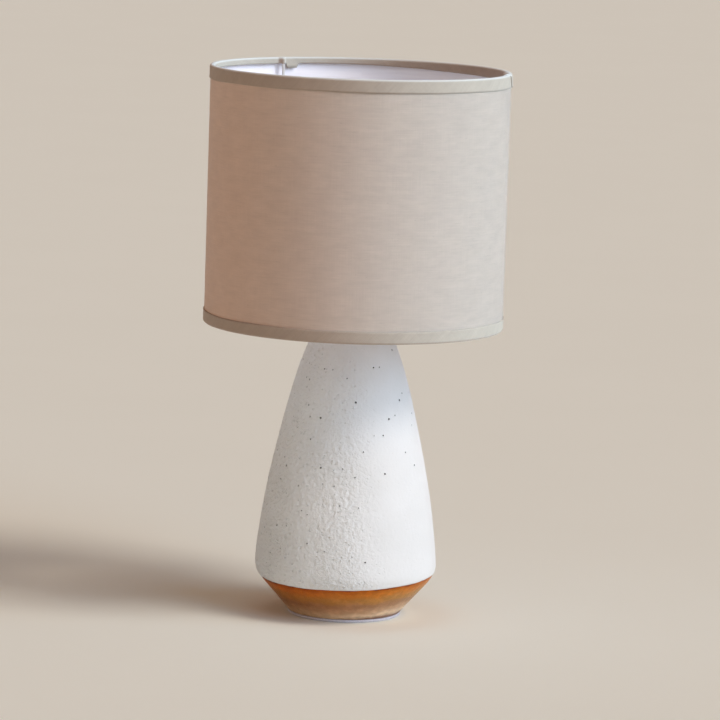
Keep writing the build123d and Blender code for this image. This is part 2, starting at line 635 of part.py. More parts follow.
# ---- Harp: one bent wire with a drilled boss at its crown ----
HARP_FOOT = (HARP_FOOT_X, SADDLE_TOP + 0.6)
HARP_CORNERS = ((HARP_FOOT_X, 303.0), (56.0, 331.0), (56.0, 388.0), (27.0, HARP_TOP))
HARP_RADII = (25.0, 60.0, 88.0, 38.0)
BOSS_RADIUS = 6.0
RIVET_RADIUS = 1.6
right_leg = (HARP_FOOT, *HARP_CORNERS)
with BuildPart() as harp_frame:
    with BuildLine(Plane.XZ) as harp_line:
        FilletPolyline(
            *right_leg,
            *[(-x, z) for x, z in reversed(right_leg)],
            radius=HARP_RADII + HARP_RADII[::-1],
        )
    with BuildSketch(Plane.XY.offset(HARP_FOOT[1])):
        with Locations((HARP_FOOT_X, 0)):
            Circle(HARP_WIRE)
    sweep(path=harp_line.wire())
    with BuildSketch(Plane.XY.offset(BOSS_BOTTOM)):
        Circle(BOSS_RADIUS)
    extrude(amount=BOSS_TOP - BOSS_BOTTOM)
    with BuildSketch(Plane.XY.offset(BOSS_BOTTOM)):
        Circle(RIVET_RADIUS + RUNNING_CLEARANCE)
    extrude(amount=BOSS_TOP - BOSS_BOTTOM, mode=Mode.SUBTRACT)
harp_frame.part.label = "harp_frame"
export_step(harp_frame.part, "parts/harp_frame.step")

SLEEVE_BOTTOM = 269.0
SLEEVE_LENGTH = 12.0
SLEEVE_RADIUS = 4.8
SLEEVE_INNER_RADIUS = 4.1
for side, label in ((-1, "harp_sleeve_left"), (1, "harp_sleeve_right")):
    with BuildPart() as harp_sleeve:
        with BuildSketch(Plane.XY.offset(SLEEVE_BOTTOM)):
            with Locations((side * SLEEVE_X, 0)):
                Circle(SLEEVE_RADIUS)
                Circle(SLEEVE_INNER_RADIUS, mode=Mode.SUBTRACT)
        extrude(amount=SLEEVE_LENGTH)
        rims = harp_sleeve.edges().filter_by(GeomType.CIRCLE)
        fillet(rims.sort_by(SortBy.RADIUS)[-2:], 0.25)
    harp_sleeve.part.label = label
    export_step(harp_sleeve.part, f"parts/{label}.step")

# ---- Swivel stud riveted through the harp's boss; the spider's hub rests on its seat ----
STUD_RADIUS = 3.1
SEAT_RADIUS = 7.0
RIVET_HEAD_RADIUS = 3.2
RIVET_HEAD_BOTTOM = BOSS_BOTTOM - 1.5
with BuildPart() as harp_stud:
    with BuildSketch(Plane.XZ):
        ring_profile(0, RIVET_HEAD_RADIUS, RIVET_HEAD_BOTTOM, BOSS_BOTTOM - 0.1)
        ring_profile(0, RIVET_RADIUS, RIVET_HEAD_BOTTOM, SEAT_BOTTOM)
        ring_profile(0, SEAT_RADIUS, SEAT_BOTTOM, HUB_BOTTOM)
        ring_profile(0, STUD_RADIUS, HUB_BOTTOM, STUD_TOP)
    revolve(axis=Axis.Z)
    chamfer(harp_stud.faces().sort_by(Axis.Z)[-1].edges(), 0.5)
harp_stud.part.label = "harp_stud"
export_step(harp_stud.part, "parts/harp_stud.step")

# ---- Shade frame: two wire rings, three spider arms and the hub ----
with BuildPart() as shade_top_ring:
    with BuildSketch(Plane.XZ):
        with Locations((RING_RADIUS, TOP_RING_HEIGHT)):
            Circle(RING_WIRE)
    revolve(axis=Axis.Z)
shade_top_ring.part.label = "shade_top_ring"
export_step(shade_top_ring.part, "parts/shade_top_ring.step")

with BuildPart() as shade_bottom_ring:
    with BuildSketch(Plane.XZ):
        with Locations((RING_RADIUS, BOTTOM_RING_HEIGHT)):
            Circle(RING_WIRE)
    revolve(axis=Axis.Z)
shade_bottom_ring.part.label = "shade_bottom_ring"
export_step(shade_bottom_ring.part, "parts/shade_bottom_ring.step")

HUB_RADIUS = 8.5
HUB_BORE = 3.4
with BuildPart() as spider_hub:
    with BuildSketch(Plane.XZ):
        ring_profile(HUB_BORE, HUB_RADIUS, HUB_BOTTOM, HUB_TOP)
    revolve(axis=Axis.Z)
spider_hub.part.label = "spider_hub"
export_step(spider_hub.part, "parts/spider_hub.step")

ARM_CREST_RADIUS = 2.2
ARM_ELBOW_RADIUS = 7.0
ARM_START = HUB_RADIUS - 2.0
with BuildPart() as spider_arms:
    for angle in SPIDER_ANGLES:
        heading = Vector(1, 0, 0).rotate(Axis.Z, angle)
        arm_plane = Plane(origin=(0, 0, 0), x_dir=heading, z_dir=heading.cross(Vector(0, 0, 1)))
        with BuildLine(arm_plane) as arm_line:
            FilletPolyline(
                (ARM_START, SPIDER_HEIGHT),
                (ARM_DROP_RADIUS, SPIDER_HEIGHT),
                (ARM_DROP_RADIUS, TOP_RING_HEIGHT),
                (RING_RADIUS, TOP_RING_HEIGHT),
                radius=(ARM_ELBOW_RADIUS, ARM_CREST_RADIUS),
            )
        with BuildSketch(Plane(origin=arm_line.line @ 0, z_dir=arm_line.line % 0)):
            Circle(RING_WIRE)
        sweep(path=arm_line.wire())
    add(shade_top_ring.part, mode=Mode.SUBTRACT)
    add(spider_hub.part, mode=Mode.SUBTRACT)
spider_arms.part.label = "spider_arms"
export_step(spider_arms.part, "parts/spider_arms.step")

# ---- Shade skin: styrene liner, linen cover, and the tapes that wrap both edges ----
with BuildPart() as shade_liner:
    with BuildSketch(Plane.XZ):
        ring_profile(LINER_BORE, LINER_RADIUS, SKIN_BOTTOM, SKIN_TOP)
    revolve(axis=Axis.Z)
shade_liner.part.label = "shade_liner"
export_step(shade_liner.part, "parts/shade_liner.step")

with BuildPart() as shade_cover:
    with BuildSketch(Plane.XZ):
        ring_profile(LINER_RADIUS, LINEN_RADIUS, SKIN_BOTTOM, SKIN_TOP)
    revolve(axis=Axis.Z)
shade_cover.part.label = "shade_cover"
export_step(shade_cover.part, "parts/shade_cover.step")

NOTCH_WIDTH = 5.0
TAPE_FOLD_RADIUS = TAPE_INNER_RADIUS + TAPE_THICKNESS
TOP_FOLD_BOTTOM = SHADE_TOP - TAPE_FOLD_DEPTH
with BuildPart() as shade_trim_top:
    with BuildSketch(Plane.XZ):
        ring_profile(LINEN_RADIUS, SHADE_RADIUS, SHADE_TOP - TOP_TAPE_WIDTH, SHADE_TOP)
        ring_profile(TAPE_INNER_RADIUS, SHADE_RADIUS, SKIN_TOP, SHADE_TOP)
        ring_profile(TAPE_INNER_RADIUS, TAPE_FOLD_RADIUS, TOP_FOLD_BOTTOM, SHADE_TOP)
    revolve(axis=Axis.Z)
    with BuildSketch(Plane.XY.offset(TOP_FOLD_BOTTOM)):
        for angle in SPIDER_ANGLES:
            with PolarLocations(TAPE_INNER_RADIUS, 1, start_angle=angle):
                Rectangle(4 * TAPE_THICKNESS, NOTCH_WIDTH)
    extrude(amount=SKIN_TOP - TOP_FOLD_BOTTOM, mode=Mode.SUBTRACT)
shade_trim_top.part.label = "shade_trim_top"
export_step(shade_trim_top.part, "parts/shade_trim_top.step")

with BuildPart() as shade_trim_bottom:
    with BuildSketch(Plane.XZ):
        ring_profile(LINEN_RADIUS, SHADE_RADIUS, SHADE_BOTTOM, SHADE_BOTTOM + BOTTOM_TAPE_WIDTH)
        ring_profile(TAPE_INNER_RADIUS, SHADE_RADIUS, SHADE_BOTTOM, SKIN_BOTTOM)
        ring_profile(TAPE_INNER_RADIUS, TAPE_FOLD_RADIUS, SHADE_BOTTOM, SHADE_BOTTOM + TAPE_FOLD_DEPTH)
    revolve(axis=Axis.Z)
shade_trim_bottom.part.label = "shade_trim_bottom"
export_step(shade_trim_bottom.part, "parts/shade_trim_bottom.step")

# ---- Finial: a turned knob with a blind thread ----
FINIAL_BALL = 6.4
FINIAL_NECK = 4.4
FINIAL_WAIST = 4.0
FINIAL_BASE = 6.0
BASE_TOP = HUB_TOP + 1.6
BALL_CENTRE = FINIAL_TOP - FINIAL_BALL
BALL_FOOT = BALL_CENTRE - math.sqrt(FINIAL_BALL**2 - FINIAL_NECK**2)
with BuildPart() as finial:
    with BuildSketch(Plane.XZ):
        with BuildLine():
            Polyline((0, HUB_TOP), (FINIAL_BASE, HUB_TOP), (FINIAL_BASE, BASE_TOP))
            ThreePointArc((FINIAL_BASE, BASE_TOP), (FINIAL_WAIST, HUB_TOP + 5.0), (FINIAL_NECK, BALL_FOOT))
            ThreePointArc((FINIAL_NECK, BALL_FOOT), (FINIAL_BALL, BALL_CENTRE), (0, FINIAL_TOP))
            Line((0, FINIAL_TOP), (0, HUB_TOP))
        make_face()
    revolve(axis=Axis.Z)
    with BuildSketch(Plane.XY.offset(HUB_TOP)):
        Circle(STUD_RADIUS + 0.2)
    extrude(amount=STUD_TOP + 1.0 - HUB_TOP, mode=Mode.SUBTRACT)
finial.part.label = "finial"
export_step(finial.part, "parts/finial.step")
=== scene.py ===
import json
import math
import random

import bmesh
import bpy
import numpy as np
from mathutils import Matrix, Vector, noise


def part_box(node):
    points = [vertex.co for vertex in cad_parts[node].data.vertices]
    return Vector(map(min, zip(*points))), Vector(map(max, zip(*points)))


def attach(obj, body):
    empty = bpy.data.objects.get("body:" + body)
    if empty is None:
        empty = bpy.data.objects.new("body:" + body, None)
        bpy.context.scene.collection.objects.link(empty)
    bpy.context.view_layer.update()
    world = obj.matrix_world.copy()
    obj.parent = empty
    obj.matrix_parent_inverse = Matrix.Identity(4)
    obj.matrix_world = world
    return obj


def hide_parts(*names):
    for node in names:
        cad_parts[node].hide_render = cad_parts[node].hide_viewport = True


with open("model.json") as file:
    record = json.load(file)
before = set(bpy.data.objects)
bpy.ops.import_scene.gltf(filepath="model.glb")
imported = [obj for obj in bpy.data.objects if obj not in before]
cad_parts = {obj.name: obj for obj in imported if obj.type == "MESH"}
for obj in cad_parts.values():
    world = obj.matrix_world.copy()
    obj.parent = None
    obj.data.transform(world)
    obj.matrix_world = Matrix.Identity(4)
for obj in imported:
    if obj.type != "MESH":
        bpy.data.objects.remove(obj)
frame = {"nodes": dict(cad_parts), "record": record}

# Table lamp: a crater-glazed ceramic body, a linen drum shade on a harp, a socket and a bulb. Everything is
# in metres in the CAD's frame. The front of the lamp looks along -Y and the cord leaves the back along +Y.

MM = 0.001
TURN = 2 * math.pi
NODES = frame["nodes"]
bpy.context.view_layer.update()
rng = random.Random(41)


# -------------------- sizes read from the frame
CERAMIC_LOW, CERAMIC_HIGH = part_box("ceramic_body")
COVER_LOW, COVER_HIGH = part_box("shade_cover")
LINER_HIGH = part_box("shade_liner")[1]
TOP_TAPE_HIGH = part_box("shade_trim_top")[1]
TOP_RING_LOW, TOP_RING_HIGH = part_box("shade_top_ring")
BOTTOM_RING_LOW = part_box("shade_bottom_ring")[0]
BUSHING_LOW, BUSHING_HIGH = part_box("cord_bushing")
PAD_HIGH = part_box("foot_pad")[1]
STUD_LOW, STUD_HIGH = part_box("harp_stud")
CAP_LOW, CAP_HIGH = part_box("bulb_screw_cap")
SCREW_SHELL_LOW, SCREW_SHELL_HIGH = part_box("socket_screw_shell")
LED_BOARD_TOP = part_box("bulb_led_board")[1].z

SHADE_RADIUS = TOP_TAPE_HIGH.x
LINEN_RADIUS = COVER_HIGH.x
LINER_RADIUS = LINER_HIGH.x
RING_WIRE = (TOP_RING_HIGH.z - TOP_RING_LOW.z) / 2
RING_RADIUS = TOP_RING_HIGH.x - RING_WIRE
TAPE = 0.5 * MM
FIRST_ARM = 4
SPIDER_ANGLES = [math.radians(FIRST_ARM + 120 * k) for k in range(3)]


# -------------------- node materials
class Shader:
    """A Principled material and the few node patterns that the lamp's finishes are made of."""

    def __init__(self, name, **constants):
        self.material = bpy.data.materials.new(name)
        self.material.use_nodes = True
        self.tree = self.material.node_tree
        self.bsdf = self.tree.nodes["Principled BSDF"]
        self.position = self.tree.nodes.new("ShaderNodeTexCoord").outputs["Object"]
        for socket, value in constants.items():
            self.bsdf.inputs[socket.replace("_", " ")].default_value = value

    def node(self, kind, inputs, **settings):
        """A new node with its settings and inputs, where an input is a value or another node's socket."""
        made = self.tree.nodes.new("ShaderNode" + kind)
        for key, value in settings.items():
            setattr(made, key, value)
        for key, value in inputs.items():
            if isinstance(value, bpy.types.NodeSocket):
                self.tree.links.new(value, made.inputs[key])
            else:
                made.inputs[key].default_value = value
        return made

    def math(self, operation, a, b=0.0, c=0.0):
        return self.node("Math", {0: a, 1: b, 2: c}, operation=operation).outputs[0]

    def noise(self, per_mm, detail=3.0, roughness=0.55, vector=None, distortion=0.0):
        """Noise with that many features to a millimetre, from 0 to 1."""
        inputs = {
            "Vector": vector or self.position,
            "Scale": per_mm / MM,
            "Detail": detail,
            "Roughness": roughness,
            "Distortion": distortion,
        }
        return self.node("TexNoise", inputs).outputs["Fac"]

    def ramp(self, value, *stops, smooth=True):
        """A colour or grey ramp: each stop is (place, colour or grey)."""
        made = self.node("ValToRGB", {"Fac": value})
        ramp = made.color_ramp
        ramp.interpolation = "EASE" if smooth else "LINEAR"
        while len(ramp.elements) < len(stops):
            ramp.elements.new(0.5)
        for element, (place, colour) in zip(ramp.elements, stops):
            element.position = place
            element.color = (*colour, 1) if isinstance(colour, tuple) else (colour, colour, colour, 1)
        return made.outputs["Color"]

    def span(self, value, low, high, to_low=0.0, to_high=1.0, smooth=False):
        """value carried from low..high to to_low..to_high, and held at its ends."""
        kind = "SMOOTHSTEP" if smooth else "LINEAR"
        inputs = {"Value": value, "From Min": low, "From Max": high, "To Min": to_low, "To Max": to_high}
        return self.node("MapRange", inputs, interpolation_type=kind, clamp=True).outputs[0]

    def mix(self, share, a, b, blend="MIX"):
        """Colour a where share is 0 and b where it is 1."""
        a = (*a, 1) if isinstance(a, tuple) else a
        b = (*b, 1) if isinstance(b, tuple) else b
        made = self.node("Mix", {"Factor": share, 6: a, 7: b}, data_type="RGBA", blend_type=blend)
        return made.outputs[2]

    def shaded(self, colour, tone):
        """The colour times a grey tone."""
        grey = self.node("CombineColor", {0: tone, 1: tone, 2: tone}).outputs[0]
        return self.mix(1.0, colour, grey, "MULTIPLY")

    def attribute(self, name):
        """A number that the mesh carries at each point."""
        return self.node("Attribute", {}, attribute_name=name).outputs["Fac"]

    def stretched(self, vector, along):
        return self.node("Mapping", {"Vector": vector, "Scale": along}).outputs[0]

    def wrapped(self, radius):
        """(distance round the lamp from its front, 0, height) in metres: cloth laid round a drum."""
        axes = self.node("SeparateXYZ", {"Vector": self.position}).outputs
        angle = self.math("ARCTAN2", axes["X"], self.math("MULTIPLY", axes["Y"], -1.0))
        around = self.math("MULTIPLY", angle, radius)
        return self.node("CombineXYZ", {"X": around, "Z": axes["Z"]}).outputs[0]

    def height(self):
        return self.node("SeparateXYZ", {"Vector": self.position}).outputs["Z"]

    def bump(self, value, depth, normal=None):
        """A normal that stands value times depth, in metres, off the surface."""
        inputs = {"Height": value, "Distance": depth, "Strength": 1.0}
        if normal is not None:
            inputs["Normal"] = normal
        return self.node("Bump", inputs).outputs[0]

    def wire(self, **sockets):
        """Links sockets into the Principled shader and returns the material."""
        for name, socket in sockets.items():
            self.tree.links.new(socket, self.bsdf.inputs[name.replace("_", " ")])
        return self.material


THREAD_PAIR = 0.72 * MM


def linen_material(name, base, turned=0.0, slubs=1.0, folded_at=None):
    """Plain-weave linen: fine threads both ways, thick slubs along the weft, small uneven dyeing.
    A painted highlight makes the pressed fold at the height folded_at paler."""
    sheen = {"Sheen_Weight": 0.25, "Sheen_Roughness": 0.5, "Sheen_Tint": (0.93, 0.96, 1, 1)}
    s = Shader(name, Specular_IOR_Level=0.2, **sheen)
    cloth = s.wrapped(LINEN_RADIUS)
    if turned:
        cloth = s.node("Mapping", {"Vector": cloth, "Rotation": (0, turned, 0)}).outputs[0]
    weft = s.noise(1.0, 2, 0.6, s.stretched(cloth, (0.04, 1, 1.3)))
    warp = s.noise(1.0, 2, 0.6, s.stretched(cloth, (1.6, 1, 0.03)))
    slub = s.span(s.noise(1.0, 1, 0.5, s.stretched(cloth, (0.07, 1, 0.8))), 0.66, 0.76)
    nub = s.span(s.noise(1.0, 1, 0.5, s.stretched(cloth, (0.25, 1, 0.5))), 0.73, 0.8)
    dye = s.noise(0.14, 4, 0.6, s.stretched(cloth, (0.35, 1, 1)))
    tone = s.math("ADD", s.span(weft, 0.3, 0.7, -0.04, 0.04), s.span(warp, 0.3, 0.7, -0.028, 0.028))
    tone = s.math("ADD", tone, s.span(dye, 0.3, 0.7, -0.055, 0.055))
    tone = s.math("SUBTRACT", tone, s.math("MULTIPLY", slub, 0.07 * slubs))
    tone = s.math("SUBTRACT", tone, s.math("MULTIPLY", nub, 0.12 * slubs))
    colour = s.shaded(base, s.math("ADD", tone, 1.0))
    if folded_at:
        # Painted highlight along the pressed fold's edge.
        painted_highlight = s.span(s.height(), folded_at - 1.5 * MM, folded_at - 0.1 * MM, 0.0, 0.55)
        colour = s.mix(painted_highlight, colour, (0.84, 0.82, 0.80))
    pitch = TURN / THREAD_PAIR
    axes = s.node("SeparateXYZ", {"Vector": cloth}).outputs
    over = s.math("SINE", s.math("MULTIPLY", axes["X"], pitch))
    under = s.math("SINE", s.math("MULTIPLY", axes["Z"], pitch))
    weave = s.math("MULTIPLY_ADD", s.math("MULTIPLY", over, under), 0.35, weft)
    weave = s.math("ADD", weave, s.math("MULTIPLY", warp, 0.7))
    weave = s.math("ADD", weave, s.math("MULTIPLY", slub, 0.9 * slubs))
    rough = s.span(weft, 0.3, 0.7, 0.86, 0.97)
    return s.wire(Base_Color=colour, Roughness=rough, Normal=s.bump(weave, 0.05 * MM))


def ceramic_material(line):
    """Matt white crater glaze above the line, brown-gold satin glaze below it."""
    s = Shader("stoneware_glazes")
    above = s.attribute("above_line")
    coarse = s.attribute("coarseness")

    grain = s.noise(1.1, 4, 0.6)
    cloud = s.noise(0.02, 3, 0.5)
    cells = s.node("TexVoronoi", {"Vector": s.position, "Scale": 0.3 / MM, "Randomness": 1.0}).outputs
    burst = s.span(s.node("SeparateColor", {"Color": cells["Color"]}).outputs[0], 0.40, 0.60)
    ragged = s.math("MULTIPLY_ADD", s.noise(0.7, 2, 0.5), 0.5, cells["Distance"])
    crater = s.math("MULTIPLY", burst, s.span(ragged, 0.30, 0.56, 1.0, 0.0, True))
    white = s.ramp(cloud, (0.3, (0.82, 0.82, 0.82)), (0.7, (0.87, 0.87, 0.875)))
    # Painted shade: the white is darkened a little in the craters' hollows.
    white = s.mix(s.math("MULTIPLY", s.math("MULTIPLY", crater, coarse), 0.035), white, (0.42, 0.41, 0.40))
    dust = s.span(s.noise(0.6, 2, 0.5), 0.72, 0.78)
    white = s.mix(s.math("MULTIPLY", s.math("MULTIPLY", dust, coarse), 0.07), white, (0.45, 0.41, 0.37))
    # Painted shade: the pits' floors are darkened nearly to black by the pit mark.
    white = s.mix(s.attribute("pit"), white, (0.030, 0.026, 0.024))

    streak = s.noise(0.05, 4, 0.6, s.stretched(s.position, (1, 1, 3.0)))
    band = s.math("ADD", s.math("DIVIDE", above, -line), s.span(streak, 0.3, 0.7, -0.05, 0.05))
    gold = s.ramp(
        band,
        (0.0, (0.24, 0.045, 0.008)),
        (0.04, (0.52, 0.13, 0.010)),
        (0.15, (0.62, 0.205, 0.024)),
        (0.36, (0.51, 0.235, 0.06)),
        (0.52, (0.42, 0.215, 0.11)),
        (0.66, (0.54, 0.32, 0.19)),
        (0.82, (0.76, 0.55, 0.38)),
        # Painted shade: the last stop darkens the glaze where the foot's edge turns under to the pad.
        (0.94, (0.24, 0.13, 0.09)),
    )
    mottled = s.ramp(s.noise(0.16, 4, 0.6), (0.35, 0.85), (0.7, 1.12))
    gold = s.mix(0.8, gold, s.mix(1.0, gold, mottled, "MULTIPLY"))
    # Painted light and shade: the brown-gold glaze is darkened on the left (-X) and lightened on the right
    # (+X), where the light falls.
    across = s.node("SeparateXYZ", {"Vector": s.position}).outputs["X"]
    painted_side_light = s.span(across, -45 * MM, 40 * MM)
    gold = s.mix(1.0, gold, s.mix(painted_side_light, (0.74, 0.58, 0.42), (1.08, 1.10, 1.10)), "MULTIPLY")
    is_white = s.span(above, -0.12 * MM, 0.12 * MM)
    colour = s.mix(is_white, gold, white)
    rough = s.math("ADD", s.span(is_white, 0, 1, 0.30, 0.74), s.span(grain, 0.3, 0.7, -0.06, 0.10))
    relief = s.math("MULTIPLY_ADD", s.noise(0.40, 3, 0.6), 0.85, s.math("MULTIPLY", grain, 0.18))
    relief = s.math("SUBTRACT", relief, s.math("MULTIPLY", crater, 0.40))
    coarse = s.math("MULTIPLY", coarse, s.span(s.height(), 40 * MM, 90 * MM, 1.45, 1.0))
    relief = s.math("MULTIPLY", relief, s.math("MULTIPLY", coarse, s.span(is_white, 0, 1, 0.05, 1.0)))
    normal = s.bump(relief, 1.2 * MM)
    shine = s.span(is_white, 0, 1, 0.12, 0.35)
    return s.wire(Base_Color=colour, Roughness=rough, Specular_IOR_Level=shine, Normal=normal)


def metal_material(name, colour, roughness, scratch=1.0, stretch=(1, 1, 14.0), dull=0.12):
    """Metal with fine drawing lines, cloudy handling marks and a slightly dulled tone in patches."""
    s = Shader(name, Metallic=1.0)
    lines = s.noise(0.9, 3, 0.65, s.stretched(s.position, stretch))
    marks = s.noise(0.12, 4, 0.6)
    shade = s.shaded(colour, s.span(marks, 0.3, 0.75, 1.0 - dull, 1.0))
    rough = s.span(lines, 0.3, 0.7, roughness - 0.06, roughness + 0.08)
    rough = s.math("ADD", rough, s.span(marks, 0.5, 0.8, 0, 0.1))
    return s.wire(Base_Color=shade, Roughness=rough, Normal=s.bump(lines, 0.006 * MM * scratch))


def moulded_material(name, colour, roughness=0.45, grain=1.6, depth=0.02, vary=0.08):
    """Moulded plastic, rubber or enamel: a fine grain, small gloss changes and slight mottling."""
    s = Shader(name, Specular_IOR_Level=0.45)
    fine = s.noise(grain, 4, 0.6)
    cloud = s.noise(0.09, 3, 0.5)
    shade = s.shaded(colour, s.span(cloud, 0.3, 0.7, 1.0 - vary, 1.0 + vary / 2))
    rough = s.span(cloud, 0.3, 0.7, roughness - 0.05, roughness + 0.05)
    rough = s.math("ADD", rough, s.span(fine, 0.3, 0.7, 0, 0.06))
    return s.wire(Base_Color=shade, Roughness=rough, Normal=s.bump(fine, depth * MM))


def liner_material():
    """White styrene with a faint calender streak and a little dust."""
    s = Shader("styrene_liner", Specular_IOR_Level=0.4)
    cloth = s.wrapped(LINER_RADIUS)
    streak = s.noise(1.0, 2, 0.5, s.stretched(cloth, (0.02, 1, 0.3)))
    dust = s.span(s.noise(0.5, 2, 0.5, cloth), 0.68, 0.8)
    colour = s.ramp(streak, (0.3, (0.88, 0.87, 0.93)), (0.7, (0.93, 0.92, 0.97)))
    colour = s.mix(s.math("MULTIPLY", dust, 0.25), colour, (0.55, 0.52, 0.5))
    rough = s.span(streak, 0.3, 0.7, 0.42, 0.58)
    return s.wire(Base_Color=colour, Roughness=rough, Normal=s.bump(streak, 0.04 * MM))


def felt_material():
    """Pale pressed felt: tangled short fibres."""
    s = Shader("pressed_felt", Sheen_Weight=0.4, Sheen_Roughness=0.4, Specular_IOR_Level=0.15)
    fibre = s.noise(1.6, 5, 0.7, distortion=1.4)
    tuft = s.noise(0.3, 3, 0.6)
    colour = s.ramp(fibre, (0.3, (0.50, 0.47, 0.53)), (0.7, (0.74, 0.70, 0.77)))
    colour = s.mix(s.span(tuft, 0.4, 0.7, 0.0, 0.3), colour, (0.80, 0.77, 0.81))
    rough = s.span(fibre, 0.3, 0.7, 0.9, 1.0)
    return s.wire(Base_Color=colour, Roughness=rough, Normal=s.bump(fibre, 0.25 * MM))


def board_material():
    """Fibre insulating board: tan, with short pressed fibres."""
    s = Shader("fibre_board", Specular_IOR_Level=0.3)
    fibre = s.noise(1.2, 4, 0.65, s.stretched(s.position, (1, 1, 0.3)), 0.8)
    colour = s.ramp(fibre, (0.3, (0.42, 0.29, 0.17)), (0.7, (0.62, 0.47, 0.31)))
    rough = s.span(fibre, 0.3, 0.7, 0.7, 0.9)
    return s.wire(Base_Color=colour, Roughness=rough, Normal=s.bump(fibre, 0.04 * MM))


def opal_material():
    """Opal glass: milky white, softly glossy."""
    milk = {"Subsurface_Weight": 0.15, "Subsurface_Scale": 2 * MM}
    s = Shader("opal_glass", IOR=1.5, Coat_Weight=0.2, **milk)
    cloud = s.noise(0.05, 2, 0.5)
    colour = s.ramp(cloud, (0.3, (0.86, 0.86, 0.84)), (0.7, (0.91, 0.91, 0.90)))
    rough = s.span(cloud, 0.3, 0.7, 0.22, 0.32)
    return s.wire(Base_Color=colour, Roughness=rough, Normal=s.bump(cloud, 0.02 * MM))


def led_board_material():
    """White solder mask with a ring of yellow light chips standing on it."""
    s = Shader("led_board", Specular_IOR_Level=0.5)
    fine = s.noise(1.5, 3, 0.5)
    chip = s.span(s.height(), LED_BOARD_TOP - 0.5 * MM, LED_BOARD_TOP - 0.3 * MM)
    board = s.ramp(fine, (0.3, (0.78, 0.79, 0.78)), (0.7, (0.86, 0.86, 0.85)))
    colour = s.mix(chip, board, (0.85, 0.62, 0.08))
    rough = s.span(fine, 0.3, 0.7, 0.3, 0.45)
    return s.wire(Base_Color=colour, Roughness=rough, Normal=s.bump(fine, 0.01 * MM))


GLAZE_LINE = 34.65 * MM
LINEN = (0.54, 0.46, 0.395)
NICKEL = (0.66, 0.63, 0.58)
FINISH = {
    "glazed_stoneware": ceramic_material(GLAZE_LINE),
    "felt_pad": felt_material(),
    "grommet_plastic": moulded_material("grommet_plastic", (0.035, 0.033, 0.031), 0.5, 1.8, 0.03),
    "zinc_steel": metal_material("zinc_steel", (0.58, 0.60, 0.62), 0.38, 1.2, (1, 1, 3.0), 0.2),
    "gasket_rubber": moulded_material("gasket_rubber", (0.03, 0.03, 0.03), 0.8, 1.2, 0.05),
    "satin_nickel": metal_material("satin_nickel", NICKEL, 0.30),
    "paperboard": board_material(),
    "black_phenolic": moulded_material("black_phenolic", (0.022, 0.020, 0.019), 0.34, 1.4, 0.015, 0.3),
    "brass": metal_material("brass", (0.78, 0.56, 0.26), 0.30, 1.0, (1, 1, 5.0), 0.18),
    "opal_bulb": opal_material(),
    "white_collar": moulded_material("white_collar", (0.80, 0.80, 0.79), 0.42, 1.6, 0.02, 0.03),
    "led_board": led_board_material(),
    "bulb_cap_metal": metal_material("bulb_cap_metal", (0.72, 0.72, 0.71), 0.28, 0.8, (1, 1, 4.0), 0.15),
    "bulb_insulator_glass": moulded_material("bulb_insulator_glass", (0.02, 0.016, 0.03), 0.12, 0.6, 0.02),
    "solder_contact": metal_material("solder_contact", (0.60, 0.60, 0.58), 0.42, 2.0, (1, 1, 1), 0.25),
    "white_enamel_wire": moulded_material("white_enamel_wire", (0.80, 0.80, 0.79), 0.32, 0.8, 0.05, 0.05),
    "styrene_liner": liner_material(),
    "linen": linen_material("linen_cover", LINEN),
}
# Painted shade: the tape is the same linen as the cover, made darker and browner.
SHADED_TAPE_LINEN = (0.44, 0.345, 0.28)
BIAS = math.radians(45)
TAPE_FINISH = linen_material("linen_tape", SHADED_TAPE_LINEN, BIAS, 0.4, TOP_TAPE_HIGH.z)


def finish_of(node):
    """The record's material slot of a CAD node."""
    return next(part["material_slot"] for part in frame["record"]["subparts"] if part["node"] == node)


for node_name, node_object in NODES.items():
    node_object.data.materials.clear()
    node_object.data.materials.append(FINISH[finish_of(node_name)])


# -------------------- mesh building
def add_object(name, data):
    made = bpy.data.objects.new(name, data)
    bpy.context.scene.collection.objects.link(made)
    return made


def polar(r, angle, z):
    """A point at a radius and an angle round the lamp's axis, from +X, at a height."""
    return r * math.cos(angle), r * math.sin(angle), z


def piece(name, points, faces, body, node, material=None):
    """A mesh that stands for a CAD node, rides on its body and takes its finish from its slot."""
    mesh = bpy.data.meshes.new(name)
    mesh.from_pydata([tuple(p) for p in points], [], faces)
    mesh.validate()
    mesh.shade_smooth()
    made = add_object(name, mesh)
    mesh.materials.append(material or FINISH[finish_of(node)])
    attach(made, body)
    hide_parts(node)
    return made


def grid_faces(rows, columns, closed_rows=False, closed_columns=True, start=0):
    """Quads over a grid of points that is stored row by row."""
    last_row = rows if closed_rows else rows - 1
    last_column = columns if closed_columns else columns - 1
    faces = []
    for i in range(last_row):
        for j in range(last_column):
            a, b = start + i * columns, start + (i + 1) % rows * columns
            k = (j + 1) % columns
            faces.append((a + j, a + k, b + k, b + j))
    return faces


def turned(profile, segments, relief):
    """Points and faces of a closed profile of (radius, height) turned round the lamp's axis.
    relief(angle, height) moves a point outwards."""
    points = []
    for radius, height in profile:
        for j in range(segments):
            angle = TURN * j / segments
            points.append(polar(radius + relief(angle, height), angle, height))
    return points, grid_faces(len(profile), segments, closed_rows=True)


def smoothstep(x):
    x = min(1.0, max(0.0, x))
    return x * x * (3 - 2 * x)


